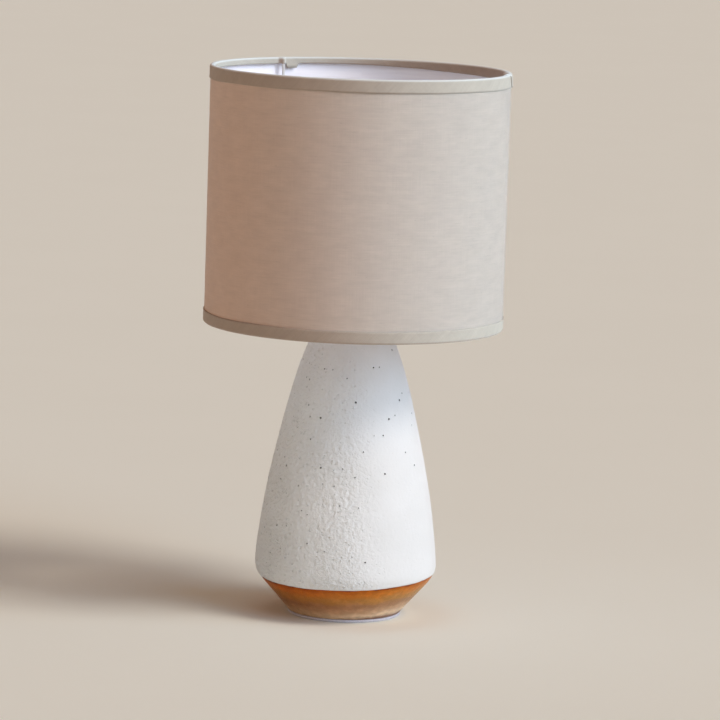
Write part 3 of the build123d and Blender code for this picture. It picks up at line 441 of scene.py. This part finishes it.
def bridge(outer, outer_angles, inner, inner_angles):
    """Triangles between two loops that run the same way round, joined in order of angle."""
    faces = []
    i = j = 0
    n, m = len(outer), len(inner)
    start_outer, start_inner = int(np.argmin(outer_angles)), int(np.argmin(inner_angles))
    outer = outer[start_outer:] + outer[:start_outer]
    outer_angles = outer_angles[start_outer:] + outer_angles[:start_outer]
    inner = inner[start_inner:] + inner[:start_inner]
    inner_angles = inner_angles[start_inner:] + inner_angles[:start_inner]
    while i < n or j < m:
        next_outer = outer_angles[i + 1] if i + 1 < n else outer_angles[0] + TURN
        next_inner = inner_angles[j + 1] if j + 1 < m else inner_angles[0] + TURN
        if j == m or (i < n and next_outer <= next_inner):
            faces.append((outer[i % n], outer[(i + 1) % n], inner[j % m]))
            i += 1
        else:
            faces.append((outer[i % n], inner[(j + 1) % m], inner[j % m]))
            j += 1
    return faces


# -------------------- ceramic body
def ceramic_outline():
    """Outer profile of the ceramic as rows of (radius, height), read from the CAD node's own mesh."""
    points = np.array([v.co for v in NODES["ceramic_body"].data.vertices])
    radius, height = np.hypot(points[:, 0], points[:, 1]), points[:, 2]
    levels = np.arange(CERAMIC_LOW.z, CERAMIC_HIGH.z + 0.5 * MM, 0.5 * MM)
    widest = np.array([radius[np.abs(height - z) < 1.5 * MM].max() for z in levels])
    outer = radius > np.interp(height, levels, widest) - 2.5 * MM
    order = np.argsort(height[outer])
    radius, height = radius[outer][order], height[outer][order]
    slots = np.round(height / (0.25 * MM)).astype(int)
    return [(radius[slots == k].mean(), height[slots == k].mean()) for k in np.unique(slots)]


class Outline:
    """A turned profile that is read by the distance along it."""

    def __init__(self, rows):
        self.r, self.z = np.array(rows).T
        steps = np.hypot(np.diff(self.r), np.diff(self.z))
        self.s = np.concatenate([[0], np.cumsum(steps)])
        self.length = self.s[-1]

    def at(self, s):
        """(radius, height, the outward normal's radial and upward parts) at a distance along the profile."""
        r, z = np.interp(s, self.s, self.r), np.interp(s, self.s, self.z)
        d = 0.6 * MM
        dr = np.interp(s + d, self.s, self.r) - np.interp(s - d, self.s, self.r)
        dz = np.interp(s + d, self.s, self.z) - np.interp(s - d, self.s, self.z)
        size = math.hypot(dr, dz)
        return r, z, dz / size, -dr / size

    def distance_at(self, z):
        return float(np.interp(z, self.z, self.s))


DIP_RADIUS = 72 * MM
SMOOTHEST_SIDE = math.radians(58)
DIP_WAVE_SIDE = math.radians(62)
DIP_WAVE = 1.8 * MM
DIP_UP_RIGHT, DIP_UP_BACK = 1.35 * MM, 2.25 * MM
DIP_UNEVEN = 0.45 * MM
BARE_SINK, COAT, BEAD = 0.2 * MM, 0.35 * MM, 0.14 * MM
SHOULDER, FULLER_SHOULDER = 37 * MM, 1.1 * MM


def facing(x, y, side):
    """Cosine of the angle between a place round the body and a side, an angle from the front towards +X."""
    return (x * math.sin(side) - y * math.cos(side)) / math.hypot(x, y)


def coarseness(x, y):
    """How rough the white glaze is at a place round the body: it lies smoothest at the front right."""
    smooth = facing(x, y, SMOOTHEST_SIDE)
    return 1.2 + 1.0 * smoothstep((0.1 - smooth) / 0.6) - 1.05 * smoothstep((smooth - 0.5) / 0.42)


def crater_relief(x, y, z, above):
    """How far the white glaze stands off its mean surface: small lumps all over, stronger low down."""
    place = Vector((x, y, z)) / MM
    lumps = noise.fractal(place * 0.36, 0.8, 2.0, 2, noise_basis="PERLIN_ORIGINAL")
    broad = noise.noise(place * 0.045)
    low_down = 1.0 - smoothstep((above - 60 * MM) / (90 * MM))
    strength = (0.32 + 0.26 * low_down) * (0.8 + 0.5 * broad)
    hollow = max(0.0, -lumps - 0.18)
    coarse = min(1.2, coarseness(x, y))
    return (0.8 * lumps - 0.9 * hollow) * strength * coarse * MM + 0.12 * broad * MM


def line_height(x, y):
    """Where the white glaze ends: a dipped line, higher at the back and the right, with one wave in it."""
    tilt = (DIP_UP_RIGHT * x + DIP_UP_BACK * y) / DIP_RADIUS
    wave = DIP_WAVE * max(0.0, facing(x, y, DIP_WAVE_SIDE)) ** 3
    place = Vector((x, y, 0))
    uneven = noise.noise(place / (28 * MM)) + 0.4 * noise.noise(place / (6 * MM))
    return GLAZE_LINE + tilt + wave + DIP_UNEVEN * uneven


def glaze_offset(angle, r, z):
    """How far the glaze stands off the plain outline: the white coat is thicker and ends in a bead."""
    x, y = r * math.cos(angle), r * math.sin(angle)
    above = z - line_height(x, y)
    coat = smoothstep((above + 0.1 * MM) / (0.9 * MM))
    bead = math.exp(-(((above - 1.3 * MM) / (1.1 * MM)) ** 2))
    fuller = math.exp(-(((z - SHOULDER) / (9 * MM)) ** 2))
    offset = -BARE_SINK + COAT * coat + BEAD * bead + FULLER_SHOULDER * fuller
    if coat > 0:
        offset += coat * crater_relief(x, y, z, max(above, 0.0))
    return offset + (1 - coat) * 0.05 * MM * noise.noise(Vector((x, y, z)) / (9 * MM))


SEGMENTS = 384
FINE_ROW, ROW = 0.55 * MM, 1.34 * MM
PIT_COUNT = 170
PIT_SIDES = 12
# A pit's rings, as (radius and depth in shares of the pit's own, painted shade).
PIT_RIM = ((1.5, 0.0, 0.0), (1.14, -0.16, 0.0), (0.94, 0.06, 0.3), (0.76, 0.5, 0.9), (0.42, 0.95, 1.0))


class Skin:
    """Points and faces of the ceramic body, with the marks that its finish reads at each point."""

    def __init__(self, outline, distances):
        self.outline = outline
        self.distances = distances
        self.points = []
        self.faces = []
        # The pit mark is painted shade in the burst bubbles.
        self.marks = {"pit": [], "above_line": [], "coarseness": []}

    def add(self, place, **marks):
        """Adds a point and returns its number."""
        self.points.append(place)
        for name, value in marks.items():
            self.marks[name].append(value)
        return len(self.points) - 1

    def add_glazed(self, angle, place, pit=0.0, sunk=0.0):
        """Adds a point of the glazed outside, at an angle and a place that the outline gives."""
        r, z, nr, nz = place
        x, y = math.cos(angle), math.sin(angle)
        off = 0.0
        if CERAMIC_LOW.z + 1.5 * MM < z < CERAMIC_HIGH.z - 1.5 * MM:
            off = glaze_offset(angle, r, z)
        above = z - line_height(r * x, r * y)
        r, z = r + (off - sunk) * nr, z + (off - sunk) * nz
        return self.add((r * x, r * y, z), pit=pit, above_line=above, coarseness=coarseness(x, y))


def glaze_rows(outline):
    """Distances of the rows of points along the outline: close together at the dip line and at the top."""
    line = outline.distance_at(GLAZE_LINE)
    distances = [0.0, 0.5 * MM, 1.0 * MM]
    while distances[-1] < outline.length - 0.4 * MM:
        here = distances[-1]
        near_line = abs(here - line - 0.5 * MM) < 4.0 * MM
        near_top = here > outline.length - 5 * MM
        distances.append(here + (FINE_ROW if near_line or near_top else ROW))
    distances[-1] = outline.length
    return distances


def columns_apart(a, b):
    return min((a - b) % SEGMENTS, (b - a) % SEGMENTS)


def choose_pits(outline, distances, first_row):
    """Places for burst bubbles in the glaze: (row, column, half width in columns, radius in metres)."""
    pits, tries = [], 0
    while len(pits) < PIT_COUNT and tries < 20000:
        tries += 1
        row = rng.randrange(first_row, len(distances) - 8)
        column = rng.randrange(SEGMENTS)
        r, z, _, _ = outline.at(distances[row])
        share_kept = 0.35 + 0.65 * smoothstep((z - 40 * MM) / (90 * MM))
        angle = TURN * (column + 0.5) / SEGMENTS
        calm = max(0.0, 1.0 - coarseness(math.cos(angle), math.sin(angle)))
        share_kept *= 1.0 - calm * (1.0 - smoothstep((z - 110 * MM) / (50 * MM)))
        if rng.random() > r / (76 * MM) * share_kept:
            continue
        cell = TURN * r / SEGMENTS
        half = max(1, math.ceil((1.5 * MM / cell) - 0.5))
        clear = all(
            abs(row - other[0]) > 4 or columns_apart(column, other[1]) > half + other[2] + 1
            for other in pits
        )
        if clear:
            pits.append((row, column, half, rng.triangular(0.5, 1.15, 0.72) * MM))
    return pits


def pit_window(row, column, half):
    """The quads that a pit takes out of the grid, as its rows and its columns."""
    return range(row - 1, row + 2), range(column - half, column + half + 1)


def add_pit(skin, row, column, half, size):
    """A burst bubble: rings of points that step from the grid over a raised rim down to its floor."""
    rows, columns = pit_window(row, column, half)
    middle_s = (skin.distances[row] + skin.distances[row + 1]) / 2
    middle_angle = TURN * (column + 0.5) / SEGMENTS
    middle_r = skin.outline.at(middle_s)[0]
    loop = [(rows.start, j) for j in columns] + [(i, columns.stop) for i in rows]
    loop += [(rows.stop, j + 1) for j in reversed(columns)]
    loop += [(i + 1, columns.start) for i in reversed(rows)]
    around = [
        math.atan2(skin.distances[i] - middle_s, (TURN * j / SEGMENTS - middle_angle) * middle_r) % TURN
        for i, j in loop
    ]
    ring = [i * SEGMENTS + j % SEGMENTS for i, j in loop]
    openness = rng.uniform(0.35, 1.0)
    depth = size * 1.7 * openness
    squeeze, lean = rng.uniform(0.75, 1.0), rng.uniform(0, math.pi)
    sides = [TURN * k / PIT_SIDES for k in range(PIT_SIDES)]
    turned_sides = [(a + lean) % TURN for a in sides]
    for scale, sunk, painted_shade in PIT_RIM:
        new_ring = []
        for a in sides:
            u, v = math.cos(a), math.sin(a) * squeeze
            across = size * scale * (u * math.cos(lean) - v * math.sin(lean))
            along = size * scale * (u * math.sin(lean) + v * math.cos(lean))
            place = skin.outline.at(middle_s + along)
            angle = middle_angle + across / middle_r
            new_ring.append(skin.add_glazed(angle, place, painted_shade * openness, sunk * depth))
        skin.faces += bridge(ring, around, new_ring, turned_sides)
        ring, around = new_ring, turned_sides
    centre = skin.add_glazed(middle_angle, skin.outline.at(middle_s), openness, depth)
    skin.faces += [(ring[k], ring[(k + 1) % PIT_SIDES], centre) for k in range(PIT_SIDES)]


def inside_profile(outline):
    """The hidden inside, from the top: down the pipe hole, round the cavity and out of the foot's recess."""
    wall, hole = 6 * MM, 6 * MM
    floor_low, floor_high = 24 * MM, 30 * MM
    recess_mouth, recess_lip = 42 * MM, 5.5 * MM
    recess_belly, recess_roof = 54 * MM, 50 * MM
    top = CERAMIC_HIGH.z
    cavity = [
        (r - wall, z) for r, z in zip(outline.r, outline.z) if floor_high < z - 2 * MM and z < top - 2 * wall
    ]
    cavity = cavity[:: max(1, len(cavity) // 24)]
    inside = [(20 * MM, top), (hole, top), (hole, top - wall)]
    inside += cavity[::-1]
    inside += [(cavity[0][0] - 4 * MM, floor_high), (hole, floor_high), (hole, floor_low)]
    inside += [(recess_roof, floor_low), (recess_belly, floor_low - 4 * MM)]
    inside += [(recess_mouth, recess_lip), (recess_mouth, CERAMIC_LOW.z)]
    return inside


def add_inside(skin):
    """Adds the inside with fewer points round it, and joins it to the outside at the top and at the foot."""
    inside = inside_profile(skin.outline)
    coarse = SEGMENTS // 4
    step = SEGMENTS // coarse
    start = len(skin.points)
    for r, z in inside:
        for j in range(coarse):
            place = polar(r, TURN * j / coarse, z)
            skin.add(place, pit=0.0, above_line=z - GLAZE_LINE, coarseness=1.0)
    skin.faces += grid_faces(len(inside), coarse, start=start)
    last_outer = (len(skin.distances) - 1) * SEGMENTS
    last_inner = start + (len(inside) - 1) * coarse
    for j in range(coarse):
        k = (j + 1) % coarse
        fine = [(j * step + q) % SEGMENTS for q in range(step + 1)]
        skin.faces.append((*(last_outer + q for q in fine), start + k, start + j))
        skin.faces.append((last_inner + j, last_inner + k, *reversed(fine)))


def build_ceramic():
    """The glazed body: the CAD's outline with its relief, its pits, its inside and its cord hole."""
    outline = Outline(ceramic_outline())
    distances = glaze_rows(outline)
    skin = Skin(outline, distances)
    rows = [outline.at(s) for s in distances]
    for row in rows:
        for j in range(SEGMENTS):
            skin.add_glazed(TURN * j / SEGMENTS, row)

    first_row = next(i for i, row in enumerate(rows) if row[1] > GLAZE_LINE + 4 * MM)
    pits = choose_pits(outline, distances, first_row)
    taken = set()
    for row, column, half, _ in pits:
        pit_rows, pit_columns = pit_window(row, column, half)
        taken |= {(i, j % SEGMENTS) for i in pit_rows for j in pit_columns}
    quads = grid_faces(len(rows), SEGMENTS)
    skin.faces += [quad for n, quad in enumerate(quads) if divmod(n, SEGMENTS) not in taken]
    for pit in pits:
        add_pit(skin, *pit)
    add_inside(skin)

    made = piece("crater_glazed_body", skin.points, skin.faces, "base", "ceramic_body")
    for name, values in skin.marks.items():
        mark = made.data.attributes.new(name, "FLOAT", "POINT")
        mark.data.foreach_set("value", np.array(values, np.float32))
    drill_cord_hole(made)


def drill_cord_hole(body):
    """Cuts the round hole that the cord bushing sits in, through the back of the foot."""
    radius, height, reach = 5.5 * MM, 14 * MM, 34 * MM
    middle = (BUSHING_LOW.y + BUSHING_HIGH.y) / 2
    level = Matrix.Rotation(math.pi / 2, 4, "X")
    cutter_mesh = bpy.data.meshes.new("cutter")
    shape = bmesh.new()
    bmesh.ops.create_cone(
        shape,
        cap_ends=True,
        segments=40,
        radius1=radius,
        radius2=radius,
        depth=reach,
        matrix=Matrix.Translation((0, middle, height)) @ level,
    )
    shape.to_mesh(cutter_mesh)
    shape.free()
    cutter = add_object("cutter", cutter_mesh)
    cut = body.modifiers.new("cord_hole", "BOOLEAN")
    cut.operation = "DIFFERENCE"
    cut.solver = "EXACT"
    cut.object = cutter
    bpy.context.view_layer.update()
    drilled = bpy.data.meshes.new_from_object(body.evaluated_get(bpy.context.evaluated_depsgraph_get()))
    body.modifiers.clear()
    body.data = drilled
    bpy.data.objects.remove(cutter)


# -------------------- shade
def wander(distance, seed, wavelength, size):
    """Smooth unevenness along the cloth."""
    return size * noise.noise(Vector((distance / wavelength, seed * 7.31, 0.0)))


SEAM = math.pi
SEAM_LAP = 9 * MM


def drum_swell(angle):
    """How far the shade's skin stands out of round at an angle from the front."""
    place = Vector((math.cos(angle), math.sin(angle), 0.3))
    return 0.25 * MM * noise.noise(place * 1.3) + 0.08 * MM * noise.noise(place * 6.0)


def lap_rise(distance, length):
    """The last stretch of cloth lies on its own start: how far it climbs there."""
    return 0.5 * MM * smoothstep((distance - (length - SEAM_LAP - 4 * MM)) / (4 * MM))


def build_cover():
    """The linen, glued round the liner as one strip whose ends lap at the back."""
    columns, rows = 380, 72
    inset, thickness = 0.5 * MM, 0.42 * MM
    low, high = COVER_LOW.z + inset, COVER_HIGH.z - inset
    length = TURN * LINEN_RADIUS + SEAM_LAP
    points = []
    for layer in (0.0, -thickness):
        for i in range(rows):
            z = low + (high - low) * i / (rows - 1)
            for j in range(columns):
                distance = length * j / (columns - 1)
                angle = SEAM + distance / LINEN_RADIUS
                dimple = 0.06 * MM * noise.noise(Vector((distance, 0, z)) / (14 * MM))
                swell = drum_swell(angle) + dimple
                r = LINEN_RADIUS - 0.05 * MM + layer + lap_rise(distance, length)
                r += swell if layer == 0.0 else min(0.0, swell)
                points.append(polar(r, angle - math.pi / 2, z))
    size = rows * columns
    faces = grid_faces(rows, columns, closed_columns=False)
    faces += [tuple(reversed(f)) for f in grid_faces(rows, columns, closed_columns=False, start=size)]
    top = (rows - 1) * columns
    for j in range(columns - 1):
        faces.append((j + 1, j, size + j, size + j + 1))
        faces.append((top + j, top + j + 1, size + top + j + 1, size + top + j))
    for i in range(rows - 1):
        a, b = i * columns, (i + 1) * columns
        faces.append((a, b, size + b, size + a))
        a, b = a + columns - 1, b + columns - 1
        faces.append((b, a, size + a, size + b))
    return piece("linen_cover", points, faces, "shade", "shade_cover"), length, high - low


def pushed_out(path, distance):
    """A path of (radius, height) moved sideways, to the right of the way it runs, by a distance."""
    pushed = []
    for k, (r, z) in enumerate(path):
        a, b = path[max(0, k - 1)], path[min(len(path) - 1, k + 1)]
        dr, dz = b[0] - a[0], b[1] - a[1]
        size = math.hypot(dr, dz)
        pushed.append((r + distance * dz / size, z - distance * dr / size))
    return pushed


def build_tape(name, node, up, width, fold, joint, way, arms=()):
    """Bias tape folded over a ring and glued down: up is 1 at the top edge and -1 at the bottom.
    fold(front) is the length of the leg inside at an angle from the front. The tape runs round from the
    angle joint, towards +X where way is 1, and its slanted end laps its start. It covers the arms' ends."""
    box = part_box(node)
    edge = box[1].z if up > 0 else box[0].z
    ring_z = (TOP_RING_HIGH.z - RING_WIRE) if up > 0 else (BOTTOM_RING_LOW.z + RING_WIRE)
    hug = RING_WIRE + 0.1 * MM
    outer = LINEN_RADIUS + 0.05 * MM
    corner = 1.3 * MM
    arm_reach, arm_rise = 4.2 * MM, 3.3 * MM
    lap, climb, slanted = 7 * MM, 3 * MM, 60 * MM
    around = TURN * SHADE_RADIUS
    length = around + lap

    def over_arms(front):
        """How far the tape bulges inwards over an arm's end."""
        apart = [abs(math.remainder(front - arm, TURN)) * RING_RADIUS / arm_reach for arm in arms]
        return max([arm_rise * max(0.0, 1 - a**2) ** 2 for a in apart], default=0.0)

    def section(distance, front, lift):
        """The tape's inner face at a place round the ring, from the outer leg's edge to the inner one's."""
        reach = width + wander(distance, 1.0, 40 * MM, 0.4 * MM) + wander(distance, 2.0, 9 * MM, 0.15 * MM)
        pucker = max(0.0, wander(distance, 3.0, 12 * MM, 0.12 * MM))
        bulge = over_arms(front)
        out = outer + lift + max(0.0, drum_swell(front))
        path = [(out + pucker + 0.05 * MM, edge - up * reach)]
        path += [(out, edge - up * reach * share) for share in (0.85, 0.6, 0.35)]
        path += [(out, edge - up * 2.0 * MM)]
        for t in (0.0, 30.0, 60.0, 90.0):
            c, q = math.cos(math.radians(t)), math.sin(math.radians(t))
            path.append((out - corner * (1 - c), edge - up * (TAPE + corner * (1 - q))))
        path.append((RING_RADIUS + 0.3 * MM, ring_z + up * (hug + lift)))
        for t, share in ((100, 0.2), (130, 0.75), (155, 0.95), (180, 1.0)):
            c, q = math.cos(math.radians(t)), math.sin(math.radians(t))
            path.append((RING_RADIUS + (hug + lift + bulge * share) * c, ring_z + up * (hug + lift) * q))
        drop = max(fold(front) - abs(edge - ring_z), 0.2 * MM)
        for share in (0.3, 0.65, 1.0):
            path.append((RING_RADIUS - hug - lift - bulge - pucker * share, ring_z - up * drop * share))
        return path

    stations = list(np.arange(0.0, length, 2.6 * MM)) + [length]
    for arm in arms:
        middle = (way * (arm - joint)) % TURN * SHADE_RADIUS
        stations += [middle + k * 0.7 * MM for k in range(-7, 8)]
    stations = sorted(stations)

    points = []
    for distance in stations:
        front = joint + way * distance / SHADE_RADIUS
        lift = 1.25 * TAPE * smoothstep((distance - around + 2 * climb) / climb)
        path = section(distance % around, front, lift)
        loop = path + pushed_out(path, up * TAPE)[::-1]
        near_end = max(0.0, 1 - min(distance, length - distance) / slanted)
        half = len(path)
        travel = 0.0
        for k, (r, z) in enumerate(loop):
            if k and k != half:
                travel += math.dist(loop[k - 1], loop[k]) * (1 if k < half else -1)
            angle = front + way * near_end * (travel - width) / SHADE_RADIUS - math.pi / 2
            points.append(polar(r, angle, z))
    sides = 2 * half
    faces = grid_faces(len(stations), sides)
    end = (len(stations) - 1) * sides
    for a in range(half - 1):
        b = sides - 1 - a
        faces.append((a + 1, a, b, b - 1))
        faces.append((end + a, end + a + 1, end + b - 1, end + b))
    if up * way > 0:
        faces = [tuple(reversed(f)) for f in faces]
    return piece(name, points, faces, "shade", node, TAPE_FINISH)


def build_shade():
    """The cloth, with the two tapes folded over the rings. The arms' ends lie under the top one."""
    cover, length, height = build_cover()
    arms = [a + math.pi / 2 for a in SPIDER_ANGLES]
    flap_arm, flap, flap_start, flap_end = arms[1], 4.0 * MM, 4.4 * MM, 17 * MM
    top_width, bottom_width = 11.0 * MM, 10.6 * MM
    top_joint, bottom_joint = math.radians(82), math.radians(205)

    def top_fold(front):
        """Leg inside the top edge: longest at the back right, with a torn flap beside one arm."""
        aside = math.remainder(front - math.radians(120), TURN) / math.radians(45)
        deep = 5.2 * MM + 3.2 * MM * math.exp(-(aside**2))
        deep += wander(front * SHADE_RADIUS, 5.0, 30 * MM, 0.5 * MM)
        beside = math.remainder(flap_arm - front, TURN) * SHADE_RADIUS
        return deep + (flap if flap_start < beside < flap_end else 0.0)

    def bottom_fold(front):
        return 7.2 * MM + wander(front * SHADE_RADIUS, 8.0, 30 * MM, 0.9 * MM)

    top = build_tape("linen_tape_top", "shade_trim_top", 1, top_width, top_fold, top_joint, -1, arms)
    bottom = build_tape(
        "linen_tape_bottom", "shade_trim_bottom", -1, bottom_width, bottom_fold, bottom_joint, 1
    )


# -------------------- felt, threads
def build_foot_pad():
    """A felt disc glued under the foot, soft at its edge and a little dented underneath."""
    radius, thick = PAD_HIGH.x, PAD_HIGH.z
    profile = [(0.0, 0.0)]
    profile += [(radius * k / 26, 0.0) for k in range(1, 25)]
    profile += [(radius - 0.8 * MM, 0.05 * MM), (radius - 0.25 * MM, 0.35 * MM), (radius, 1.0 * MM)]
    profile += [(radius, 1.7 * MM), (radius - 0.2 * MM, 2.2 * MM), (radius - 0.8 * MM, thick)]
    profile += [(radius * 0.6, thick), (0.0, thick)]
    segments = 160
    points = []
    rings = profile[1:-1]
    for r, z in rings:
        for j in range(segments):
            angle = TURN * j / segments
            place = Vector(polar(r, angle, z))
            fuzz = dent = 0.0
            if r > radius - 1 * MM and 0 < z < thick:
                fuzz = abs(0.12 * MM * noise.noise(place / (1.7 * MM)))
            if z < 0.04 * MM:
                dent = max(0.0, 0.25 * MM * noise.noise(place / (11 * MM)))
            points.append(polar(r - fuzz, angle, z + dent))
    faces = grid_faces(len(rings), segments)
    bottom, top = len(points), len(points) + 1
    points += [(0, 0, 0), (0, 0, thick)]
    last = (len(rings) - 1) * segments
    for j in range(segments):
        k = (j + 1) % segments
        faces.append((bottom, k, j))
        faces.append((top, last + j, last + k))
    pad = piece("felt_pad", points, faces, "base", "foot_pad")


def thread(depth, pitch, low, high):
    """Relief of a screw thread between two heights, fading at its ends."""

    def relief(angle, z):
        phase = (z / pitch - angle / TURN) % 1.0
        fade = smoothstep((z - low) / (0.6 * pitch)) * smoothstep((high - z) / (0.6 * pitch))
        return depth * fade * math.cos(TURN * phase)

    return relief


def fine_profile(corners, step):
    """Corners of a closed profile with points added on its upright runs."""
    out = []
    for (r0, z0), (r1, z1) in zip(corners, corners[1:] + corners[:1]):
        out.append((r0, z0))
        if abs(z1 - z0) > 2 * step:
            count = int(abs(z1 - z0) / step)
            out += [(r0 + (r1 - r0) * k / count, z0 + (z1 - z0) * k / count) for k in range(1, count)]
    return out


LAMP_THREAD, LAMP_PITCH = 0.27 * MM, 3.63 * MM
STUD_THREAD, STUD_PITCH = 0.15 * MM, 0.94 * MM


def build_bulb_cap():
    """The bulb's rolled screw cap, thin sheet with a round thread."""
    outside, low, high = CAP_HIGH.x - 0.05 * MM, CAP_LOW.z, CAP_HIGH.z
    bore = CAP_HIGH.x - 0.5 * MM
    corners = [(outside, low), (outside, high), (bore, high), (bore, low)]
    relief = thread(LAMP_THREAD, LAMP_PITCH, low + 0.5 * MM, high - 4 * MM)
    points, faces = turned(fine_profile(corners, 0.3 * MM), 72, relief)
    piece("bulb_cap_thread", points, [tuple(reversed(f)) for f in faces], "bulb", "bulb_screw_cap")


def build_screw_shell():
    """The socket's screw shell: rolled sheet with the same thread, and its flat bottom."""
    bore, window = 13.3 * MM, 6 * MM
    outside, low, high = SCREW_SHELL_HIGH.x, SCREW_SHELL_LOW.z, SCREW_SHELL_HIGH.z
    inner_low = low + outside - bore
    corners = [(window, low), (outside, low), (outside, high), (bore, high)]
    corners += [(bore, inner_low), (window, inner_low)]
    relief = thread(LAMP_THREAD, LAMP_PITCH, low + 2 * MM, high - 1 * MM)
    points, faces = turned(fine_profile(corners, 0.35 * MM), 72, relief)
    piece("socket_screw_shell_thread", points, faces, "base", "socket_screw_shell")


def build_stud():
    """The harp's stud: rivet head, shank, seat and a fine machine thread."""
    low, top = STUD_LOW.z, STUD_HIGH.z
    head, shank, seat, screw, screw_end = 3.2 * MM, 1.6 * MM, STUD_HIGH.x, 2.95 * MM, 2.35 * MM
    head_top, seat_low, seat_high = 426.3 * MM, 430.5 * MM, 432 * MM
    bevel = 0.4 * MM
    corners = [
        (0.0, low),
        (head - 0.6 * MM, low),
        (head, low + 0.5 * MM),
        (head, head_top),
        (shank, head_top),
        (shank, seat_low),
        (seat - bevel, seat_low),
        (seat, seat_low + 0.3 * MM),
        (seat, seat_high - 0.3 * MM),
        (seat - bevel, seat_high),
        (screw, seat_high),
        (screw, top - 0.6 * MM),
        (screw_end, top),
        (0.0, top),
    ]
    relief = thread(STUD_THREAD, STUD_PITCH, seat_high + 0.3 * MM, top - 0.2 * MM)
    points, faces = turned(fine_profile(corners, 0.13 * MM), 40, relief)
    weld(piece("harp_stud_thread", points, faces, "stud", "harp_stud"))


def weld(made):
    """Merges the points that fall together on the axis, and drops the faces that vanish there."""
    shape = bmesh.new()
    shape.from_mesh(made.data)
    bmesh.ops.remove_doubles(shape, verts=shape.verts, dist=0.002 * MM)
    bmesh.ops.dissolve_degenerate(shape, edges=shape.edges, dist=0.001 * MM)
    shape.to_mesh(made.data)
    shape.free()
    made.data.shade_smooth()


# -------------------- everything is built
build_ceramic()
build_foot_pad()
build_shade()
build_bulb_cap()
build_screw_shell()
build_stud()


# -------------------- floor, light and camera
def build_floor():
    """A plain pale floor, just under the foot."""
    s = Shader("pale_floor", Specular_IOR_Level=0.1)
    cloud = s.noise(0.004, 3, 0.5)
    colour = s.ramp(cloud, (0.3, (0.880, 0.900, 0.840)), (0.7, (0.885, 0.905, 0.845)))
    material = s.wire(Base_Color=colour, Roughness=s.span(cloud, 0.3, 0.7, 0.85, 0.95))
    mesh = bpy.data.meshes.new("floor")
    half, below = 60.0, -0.02 * MM
    corners = [(-half, -half, below), (half, -half, below), (half, half, below), (-half, half, below)]
    mesh.from_pydata(corners, [], [(0, 1, 2, 3)])
    mesh.materials.append(material)
    add_object("floor", mesh)


def build_world():
    """A warm, dim surrounding light, paler towards the horizon."""
    world = bpy.data.worlds.new("studio")
    world.use_nodes = True
    tree = world.node_tree
    direction = tree.nodes.new("ShaderNodeTexCoord").outputs["Generated"]
    split = tree.nodes.new("ShaderNodeSeparateXYZ")
    ramp = tree.nodes.new("ShaderNodeValToRGB")
    horizon, above = ramp.color_ramp.elements
    horizon.position = 0.02
    horizon.color = (0.52, 0.46, 0.39, 1)
    above.position = 0.30
    above.color = (0.30, 0.20, 0.145, 1)
    tree.links.new(direction, split.inputs[0])
    tree.links.new(split.outputs["Z"], ramp.inputs[0])
    tree.links.new(ramp.outputs["Color"], tree.nodes["Background"].inputs["Color"])
    bpy.context.scene.world = world


def sun(name, azimuth, elevation, strength, colour, size, only=()):
    """A soft distant light from an azimuth, in degrees from the front towards +X, and an elevation.
    A fill light shines only on the pieces that it names."""
    light = bpy.data.lights.new(name, "SUN")
    light.energy = strength
    light.color = colour
    light.angle = math.radians(size)
    holder = add_object(name, light)
    a, e = math.radians(azimuth), math.radians(elevation)
    towards = Vector((math.sin(a) * math.cos(e), -math.cos(a) * math.cos(e), math.sin(e)))
    holder.rotation_euler = towards.to_track_quat("Z", "Y").to_euler()
    if only:
        lit = bpy.data.collections.new(name + "_lights")
        for one in only:
            lit.objects.link(bpy.data.objects[one])
        holder.light_linking.receiver_collection = lit


def build_lights():
    """Daylight from the right, and fills that bring the photo's tints to single pieces."""
    tapes = ("linen_tape_top", "linen_tape_bottom")
    body, cover, liner = ("crater_glazed_body",), ("linen_cover",), (NODES["shade_liner"].name,)
    sun("key", 63, 47, 1.17, (1.0, 0.83, 0.66), 20)
    sun("window", 63, 22, 2.0, (0.52, 0.76, 1.0), 60)
    sun("side", 74, 20, 1.55, (0.39, 0.72, 1.0), 30, cover)
    sun("side_tape", 82, 20, 3.46, (0.435, 0.79, 1.0), 30, tapes)
    sun("inside", 70, 25, 1.1, (0.85, 0.88, 1.0), 30, liner)
    sun("inside_left", -60, 25, 0.2, (0.85, 0.92, 1.0), 30, liner)
    sun("glow", -70, 8, 0.75, (1.0, 0.30, 0.10), 100, cover)
    sun("bounce", -62, 22, 0.28, (0.55, 0.88, 1.0), 45, body)


def build_camera():
    """A long lens from the front, slightly above and slightly rolled, with the whole lamp in view."""
    camera = bpy.data.cameras.new("camera")
    camera.sensor_width = 36.0
    camera.lens = 211.9
    camera.clip_start, camera.clip_end = 0.1, 200.0
    holder = add_object("camera", camera)
    distance, elevation, roll = 3.5943, math.radians(8.036), math.radians(1.85)
    aim = Vector((0.006955, 0.0, 0.217579))
    back = Vector((0.0, -math.cos(elevation), math.sin(elevation)))
    holder.location = aim + distance * back
    level = back.to_track_quat("Z", "Y")
    holder.rotation_mode = "QUATERNION"
    holder.rotation_quaternion = level @ Matrix.Rotation(roll, 3, "Z").to_quaternion()
    bpy.context.scene.camera = holder


build_floor()
build_world()
build_lights()
build_camera()
bpy.context.scene.view_settings.view_transform = "Standard"
